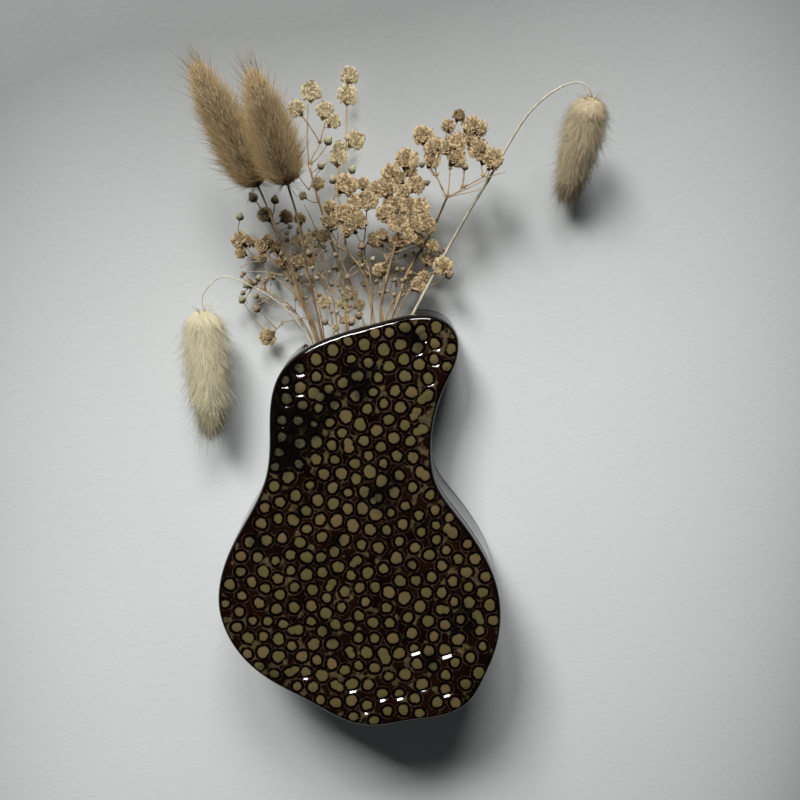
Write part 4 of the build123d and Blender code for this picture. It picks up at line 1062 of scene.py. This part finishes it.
        "twigs": [((31.1, -24.1, 86.6), (32.0, -24.1, 95.9)), ((32.0, -24.1, 95.9), (30.4, -24.1, 109.3)), ((32.0, -24.1, 95.9), (34.3, -24.0, 104.3)), ((30.4, -24.1, 106.0), (34.6, -24.1, 112.7)), ((31.1, -24.1, 86.6), (27.5, -24.0, 93.8)), ((27.5, -24.0, 93.8), (24.3, -23.9, 97.8)), ((24.3, -23.9, 97.8), (22.7, -23.9, 106.0)), ((27.5, -24.0, 93.8), (26.3, -23.9, 102.7)), ((31.1, -24.1, 86.6), (36.7, -24.0, 89.6)), ((36.7, -24.0, 89.6), (43.8, -23.6, 93.4)), ((43.8, -23.6, 93.4), (42.5, -23.4, 102.0)), ((43.8, -23.6, 93.4), (47.2, -23.4, 98.6)), ((36.7, -24.0, 89.6), (37.3, -23.9, 95.8)), ((17.4, -9.2, 58.5), (21.7, -6.0, 53.2)), ((34.3, -24.0, 104.3), (39.2, -24.0, 109.3))],
        "blooms": [((22.5, -23.9, 107.3), 3.3, "open"), ((26.3, -23.9, 103.6), 3.3, "open"), ((31.1, -24.1, 110.7), 2.2, "open"), ((34.9, -24.1, 114.1), 2.0, "stained_and_shaded"), ((39.5, -24.0, 110.4), 3.3, "open"), ((34.3, -24.0, 105.0), 3.2, "open"), ((42.1, -23.4, 102.9), 3.4, "open"), ((47.5, -23.4, 99.9), 3.1, "open"), ((37.3, -23.9, 96.9), 1.5, "pod"), ((22.1, -6.0, 52.8), 2.4, "open")],
        "more": [(432, 160, 10, -24.0, "open"), (480, 128, 9, -24.0, "open"), (456, 158, 11, -24.3, "open"), (484, 157, 9, -23.7, "open"), (492, 163, 9, -23.7, "open"), (443, 266, 11, -14.8, "open"), (449, 275, 5, -14.0, "pod"), (470, 139, 9, -24.1, "open"), (446, 148, 9, -24.1, "open"), (437, 144, 8, -24.0, "open"), (478, 148, 9, -23.9, "open"), (462, 140, 8, -24.1, "open"), (418, 285, 9, -8.7, "open"), (428, 259, 8, -9.6, "open"), (424, 277, 7, -9.0, "open")],
    },
}


def ball(centre, radius, rows=8, cols=14):
    """A lumpy ball."""
    a, b = np.meshgrid(np.linspace(0, 2 * np.pi, cols, endpoint=False), np.linspace(0, np.pi, rows + 2)[1:-1])
    way = np.stack([np.sin(b) * np.cos(a), np.sin(b) * np.sin(a), np.cos(b)], 2).reshape(-1, 3)
    way = np.vstack([way, (0, 0, 1), (0, 0, -1)])
    lump = 1 + 0.14 * field(way + centre, 0.9, 7, 6)
    tri = []
    for i in range(rows - 1):
        for c in range(cols):
            p, q = i * cols + c, i * cols + (c + 1) % cols
            tri += [(p, p + cols, q + cols), (p, q + cols, q)]
    n = rows * cols
    for c in range(cols):
        tri += [(n, c, (c + 1) % cols), (n + 1, n - cols + (c + 1) % cols, n - cols + c)]
    return centre + way * (radius * lump)[:, None], np.array(tri)


def bloom(shapes, heart, centre, radius, axis, r, tone):
    """A dried double flower: a ball of crumpled petals, open away from its stalk, some of them sheer."""
    count = max(60, int((210) * (radius / 4.2) ** 1.3))
    k = np.arange(int(count * 1.25))
    z = 1 - 2 * (k + 0.5) / len(k)
    a = k * 2.39996 + r.uniform(0, 6.28)
    ring = np.sqrt(1 - z * z)
    way = unit(np.stack([ring * np.cos(a), ring * np.sin(a), z], 1) + r.normal(0, 0.14, (len(k), 3)))
    way = way[way @ axis > -0.66]
    n = len(way)
    steps, across = np.array((0.0, 0.45, 0.80, 1.0)), np.array((-1.0, -0.35, 0.35, 1.0))
    w6 = len(across)
    face = []
    for s in range(len(steps) - 1):
        for c in range(w6 - 1):
            i, j = s * w6 + c, s * w6 + c + 1
            face += [(i, j, j + w6), (i, j + w6, i + w6)]
    face = np.array(face)
    s, w = np.meshgrid(steps, across, indexing="ij")
    s, w = s.ravel()[None], w.ravel()[None]
    t = unit(np.cross(way, r.normal(size=(n, 3))))
    b = np.cross(way, t)

    def pick(lo, hi):
        return r.uniform(lo, hi, (n, 1))

    size = radius * pick(0.30, 0.52)
    wide = radius * pick(0.11, 0.21)
    width = wide * (0.45 + 0.75 * s**0.8 - 0.15 * s**3)
    phase = pick(0, 6.28)
    ruffle = radius * pick(0.04, 0.10) * np.sin(w * pick(2.6, 5.0) + phase) * (0.25 + 0.75 * s)
    notch = 0.10 * np.cos(w * pick(3.0, 6.0) + phase) * (s > 0.7)
    up = radius * pick(0.42, 0.52) + size * (s + notch) * (1 - 0.14 * w * w)
    over = pick(-0.5, 0.5) * wide * w * w * s + pick(-0.45, 0.60) * size * s * s + ruffle
    p = centre + way[:, None, :] * up[..., None] + t[:, None, :] * (w * width)[..., None] + b[:, None, :] * over[..., None]
    v = p - centre
    far = np.linalg.norm(v, axis=2, keepdims=True)
    p = centre + v * np.minimum(1.0, radius * 1.06 / np.maximum(far, 1e-6))
    p[..., 1] = np.minimum(p[..., 1], -0.2)  # the wall stops them
    own = np.clip(tone + r.normal(0, 0.16, n), 0, 1)
    coarse = r.uniform(size=n) < 0.15
    for shape, keep in zip(shapes, (np.flatnonzero(coarse), np.flatnonzero(~coarse))):
        tri = face[None] + (np.arange(len(keep)) * s.size)[:, None, None]
        lit = unit(unit(p[keep] - centre) + 0.5 * np.array((-0.2, -0.75, 0.6)))
        shape.add(p[keep].reshape(-1, 3), tri.reshape(-1, 3), soft=lit, along=np.repeat(s, len(keep), 0).ravel(), tone=np.repeat(own[keep], s.size))
    # the inner ball is painted part way to the petals' dark foot colour: painted shade in the gaps between petals
    verts, tri = ball(centre, radius * 0.66)
    verts[:, 1] = np.minimum(verts[:, 1], -0.25)
    heart.add(verts, tri, soft=unit(unit(verts - centre) + 0.5 * np.array((-0.2, -0.75, 0.6))), along=0.32, tone=tone)
    # dry green-brown cup under the petals
    verts, tri, _ = sweep([centre - axis * radius * 0.95, centre - axis * radius * 0.75, centre - axis * radius * 0.45, centre - axis * radius * 0.2], [0.3, radius * 0.24, radius * 0.42, radius * 0.46], 8)
    verts[:, 1] = np.minimum(verts[:, 1], -0.25)
    heart.add(verts, tri, soft=unit(verts - centre), along=0.0, tone=min(1.0, tone + 0.5))


def seed_case(shape, centre, radius, axis, r, tone):
    """A closed bud or dry seed case: a ribbed oval with a split, pointed tip and a cup of small leaves."""
    e1, e2 = frame_of(axis)
    rows, cols = 13, 15
    verts = []
    for i in range(rows):
        v = i / (rows - 1)
        ring = radius * float(np.interp(v, (0.0, 0.08, 0.2, 0.35, 0.5, 0.65, 0.78, 0.88, 0.95, 1.0), (0.10, 0.48, 0.82, 1.0, 0.97, 0.80, 0.52, 0.36, 0.38, 0.16)))
        lift = radius * (-1.0 + 2.3 * v)
        for c in range(cols):
            a = 2 * math.pi * c / cols
            rib = 1 + 0.06 * math.cos(5 * a) * math.sin(math.pi * v) + 0.04 * math.sin(3 * a + tone * 9)
            verts.append(centre + axis * lift + ring * rib * (math.cos(a) * e1 + math.sin(a) * e2))
    face = []
    for i in range(rows - 1):
        for c in range(cols):
            a, b = i * cols + c, i * cols + (c + 1) % cols
            face += [(a, b, b + cols), (a, b + cols, a + cols)]
    verts += [centre - axis * radius, centre + axis * radius * 1.32]
    n = rows * cols
    for c in range(cols):
        face += [(n, (c + 1) % cols, c), (n + 1, n - cols + c, n - cols + (c + 1) % cols)]
    along = np.concatenate([np.repeat(np.linspace(0, 1, rows), cols), [0, 1]])
    shape.add(verts, face, along=along, tone=tone)
    for k in range(5):  # little leaves at its foot
        a = 2 * math.pi * k / 5 + tone
        out = math.cos(a) * e1 + math.sin(a) * e2
        side = np.cross(axis, out)
        root = centre - axis * radius * 0.95
        rows3 = []
        for s, w in ((0.0, 0.2), (0.45, 0.5), (0.8, 0.3), (1.0, 0.03)):
            mid = root + out * radius * (0.22 + 0.86 * math.sin(s * 1.55)) + axis * radius * s * 0.75
            rows3 += [mid - side * w * radius * 0.6, mid + out * 0.04, mid + side * w * radius * 0.6]
        leaf = []
        for s in range(3):
            for c in range(2):
                i, j = s * 3 + c, s * 3 + c + 1
                leaf += [(i, j, j + 3), (i, j + 3, i + 3)]
        shape.add(rows3, leaf, along=np.repeat((0.1, 0.3, 0.6, 0.8), 3), tone=min(1.0, tone + 0.3))


def grow_sprig(name, g, seed):
    r = np.random.default_rng(seed)
    stems = Shape("along")
    petals, sheer, hearts, pods, buds = (Shape("along", "tone") for _ in range(5))
    low = np.linspace(g["path"][0], g["path"][1], 12)[:-1]
    main = np.vstack([low, catmull(g["path"][1:], 8)])
    share = np.linspace(0, 1, len(main))
    radius = 0.62 - 0.22 * share + 0.03 * np.sin(share * 70 + seed)
    skeleton = [(p, rad) for p, rad in zip(main, radius) if p[2] > 36]
    for node in g["path"][2:]:
        near = np.linalg.norm(main - np.array(node), axis=1)
        radius = radius + 0.22 * np.exp(-((near / 0.9) ** 2))
    verts, tri, along = sweep(main, radius, 10)
    stems.add(verts, tri, along=along * 0.6)
    ends = {}

    def twig(a, b, thick0, thick1, bow):
        a, b = np.array(a, float), np.array(b, float)
        long = np.linalg.norm(b - a)
        side = unit(np.cross(b - a, (0.15, 1.0, 0.2)))
        q = a + (b - a) * 0.45 + side * long * bow + (0, 0, -0.02 * long)
        path = catmull([a, q, b], 5)
        s = np.linspace(0, 1, len(path))
        verts, tri, along = sweep(path, thick0 + (thick1 - thick0) * s, 7)
        stems.add(verts, tri, along=0.3 + 0.7 * along)
        return path

    for a, b in g["twigs"]:
        path = twig(a, b, 0.29, 0.20, r.uniform(-0.05, 0.05))
        skeleton += [(p, 0.3) for p in path]
        ends[tuple(b)] = unit(path[-1] - path[-3])
        # a dry bract at each fork
        root, way = np.array(a, float), unit(np.array(b, float) - np.array(a, float))
        side = unit(np.cross(way, (0.2, 1.0, 0.1)))
        for sign in (-1, 1):
            tip = root + unit(way + side * sign * 0.9) * r.uniform(1.2, 2.2)
            verts, tri, along = sweep([root, root * 0.5 + tip * 0.5 + way * 0.1, tip], [0.30, 0.24, 0.03], 5)
            stems.add(verts, tri, along=0.9)
    for depth, *pixels in g["stalks"]:
        nodes = [at_pixel(px, py, depth[0] + (depth[1] - depth[0]) * k / (len(pixels) - 1)) for k, (px, py) in enumerate(pixels)]
        first = nodes[0] + np.array((0.0, 0.0, -16.0)) + (nodes[0] - nodes[1]) * (0.3, 0, 0)
        path = catmull([first, *nodes], 6)
        s = np.linspace(0, 1, len(path))
        verts, tri, along = sweep(path, 0.36 - 0.17 * s, 7)
        stems.add(verts, tri, along=0.8 * along)
        skeleton += [(p, 0.3) for p in path if p[2] > 36]
        # fine twigs and tiny buds along it
        for k in range(len(path) // 2):
            i = r.integers(len(path) * 2 // 5, len(path))
            side = unit(np.array((r.normal(), 0.25 * r.normal(), 0.9)))
            tip = path[i] + side * r.uniform(3.5, 8.0)
            tip[1] = min(tip[1], -1.2)
            fork = twig(path[i], tip, 0.19, 0.12, r.uniform(-0.15, 0.15))
            if r.uniform() < 0.75:
                seed_case(buds if r.uniform() < 0.6 else pods, tip, r.uniform(0.55, 1.05), unit(fork[-1] - fork[-3]), r, r.uniform(0, 0.8))
    for depth, *pixels in g.get("whips", []):  # bare dry twigs
        path = catmull([at_pixel(px, py, depth) for px, py in pixels], 5)
        verts, tri, along = sweep(path, np.linspace(0.24, 0.13, len(path)), 7)
        stems.add(verts, tri, along=0.3 + 0.6 * along)
    places = [(np.array(c), rad, kind, None) for c, rad, kind in g["blooms"]]
    for px, py, rad, y, kind in g["more"]:
        c = at_pixel(px, py, y)
        places.append((c, rad / px_per_mm(c), kind, True))
    for c, rad, kind, extra in places:
        if extra:
            spots = np.array([p for p, _ in skeleton])
            gap = spots - c
            cost = np.linalg.norm(gap, axis=1) + 2.2 * np.clip(gap[:, 2] + 2.5, 0, None)
            root = spots[int(np.argmin(cost))]
            path = twig(root, c, 0.23, 0.16, r.uniform(-0.12, 0.12))
            axis = unit(path[-1] - path[-3])
        else:
            key = min(ends, key=lambda e: np.linalg.norm(np.array(e) - c))
            axis = ends[key]
        if kind in ("open", "stained_and_shaded"):
            # stained_and_shaded blooms get a darker tone: some are truly stained, the others are blooms in shadow
            # painted darker as painted shade
            tone = r.uniform(*g["tone"]) if kind == "open" else r.uniform(0.55, 0.85)
            bloom((petals, sheer), hearts, c, rad * (1.0 if extra else 1.26), axis, r, tone)
        else:
            seed_case(pods if kind == "pod" else buds, c, rad * 0.85, axis, r, r.uniform(0.0, 0.6))
    made = stems.build(name + "_stems_skin", TWIG)
    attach(made, name)
    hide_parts(name + "_stems")
    paper = PETAL_PALE if name == "sprig_top" else PETAL
    made = hearts.build(name + "_hearts", paper)
    made.visible_shadow = name != "sprig_top"
    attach(made, name)
    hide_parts(name + "_blooms")
    for shape, end in ((petals, "_petals"), (sheer, "_sheer_petals")):
        made = shape.build(name + end, paper)
        made.visible_shadow = False
        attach(made, name)
    for shape, end, paint in ((pods, "_seed_cases", POD), (buds, "_buds", BUD)):
        if shape.n:
            made = shape.build(name + end, paint)
            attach(made, name)


for k, (name, g) in enumerate(SPRIGS.items()):
    grow_sprig(name, g, 900 + k)

# ------------------------------------------------------------------ wall, light and camera


def wall_paint():
    m = Nodes("wall_paint")
    grain = m.noise(2.4, 4.0, 0.6)
    broad = m.noise(60.0, 2.0, 0.5)
    where = m.node("ShaderNodeSeparateXYZ")
    m.put(where.inputs[0], m.node("ShaderNodeTexCoord").outputs["Object"])
    x = m.math("MULTIPLY", where.outputs["X"], 5.0)
    z = m.math("MULTIPLY", where.outputs["Z"], 5.0)
    # painted shade: the wall is painted greyer towards the top and the sides, where less light falls
    down = m.math("MULTIPLY_ADD", m.math("MULTIPLY_ADD", m.math("MULTIPLY_ADD", z, -0.0679, -0.2425), z, -0.2756), z, 0.5888)
    side = m.math("MULTIPLY_ADD", m.math("MULTIPLY_ADD", m.math("MULTIPLY_ADD", x, -0.4905, 0.0474), x, 0.1678), x, 0.0282)
    side = m.math("MULTIPLY_ADD", z, 0.0961, side)
    shade = m.math("MULTIPLY_ADD", side, x, down)
    shade = m.math("MINIMUM", m.math("MAXIMUM", shade, 0.22), 0.75)
    away = m.math("SQRT", m.math("MULTIPLY_ADD", x, x, m.math("MULTIPLY", z, z)))
    shade = m.math("MAXIMUM", shade, m.step(1.16, 1.50, away, 0.0, 0.60))
    # painted light: a little lighter round the middle
    shade = m.math("ADD", shade, m.step(0.75, 0.12, away, 0.0, 0.05))
    shade = m.math("MULTIPLY_ADD", broad, 0.03, shade)
    colour = m.mix(shade, (0.0, 0.0, 0.0), (0.965, 0.99, 0.98))
    m.set(Base_Color=colour, Roughness=0.9, Normal=m.bump(grain, 0.25, 0.35))
    # seen from behind, the wall lets the view through
    tree = m.tree
    clear = tree.nodes.new("ShaderNodeBsdfTransparent")
    mix = tree.nodes.new("ShaderNodeMixShader")
    side = tree.nodes.new("ShaderNodeNewGeometry")
    tree.links.new(side.outputs["Backfacing"], mix.inputs[0])
    tree.links.new(m.shader.outputs[0], mix.inputs[1])
    tree.links.new(clear.outputs[0], mix.inputs[2])
    tree.links.new(mix.outputs[0], tree.nodes["Material Output"].inputs["Surface"])
    return m.material


mesh = bpy.data.meshes.new("wall")
mesh.from_pydata([(-2, 0.0005, -2), (2, 0.0005, -2), (2, 0.0005, 2), (-2, 0.0005, 2)], [], [(0, 1, 2, 3)])
mesh.materials.append(wall_paint())
wall = bpy.data.objects.new("wall", mesh)
bpy.context.scene.collection.objects.link(wall)
wall.visible_shadow = False


def area_light(name, place, aim, size, watts, colour, tall=None):
    data = bpy.data.lights.new(name, "AREA")
    data.shape = "RECTANGLE" if tall else "DISK"
    data.size = size
    if tall:
        data.size_y = tall
    data.energy = watts
    data.color = colour
    obj = bpy.data.objects.new(name, data)
    obj.location = place
    obj.rotation_euler = (Vector(aim) - Vector(place)).to_track_quat("-Z", "Y").to_euler()
    bpy.context.scene.collection.objects.link(obj)
    return obj


# a window high up at the left, a smaller one above the middle, and a weak light behind the wall
area_light("window", (-0.43, -0.80, 1.04), (0.0, 0.0, -0.04), 0.44, 22.0, (1.0, 1.0, 0.99), 0.34)
area_light("skylight", (0.07, -0.80, 1.25), (0.0, 0.0, -0.04), 0.44, 13.2, (0.99, 1.0, 1.0), 0.34)
area_light("behind", (0.45, 0.9, 0.5), (0.0, 0.0, 0.0), 0.9, 5.0, (1.0, 1.0, 1.0))

world = bpy.data.worlds.new("studio")
bpy.context.scene.world = world
world.use_nodes = True
world.node_tree.nodes["Background"].inputs["Color"].default_value = (0.86, 0.93, 0.95, 1.0)
world.node_tree.nodes["Background"].inputs["Strength"].default_value = 0.04
world.cycles_visibility.glossy = False

cam_data = bpy.data.cameras.new("camera")
cam_data.sensor_fit = "HORIZONTAL"
cam_data.sensor_width = 36.0
cam_data.lens = 36.0 * FOCAL / 800.0
cam_data.clip_start = 0.01
cam_data.clip_end = 20.0
camera = bpy.data.objects.new("camera", cam_data)
camera.location = CAM * 0.001
camera.rotation_euler = (math.pi / 2 - PITCH, 0.0, 0.0)
bpy.context.scene.collection.objects.link(camera)
bpy.context.scene.camera = camera
bpy.context.scene.view_settings.view_transform = "Standard"
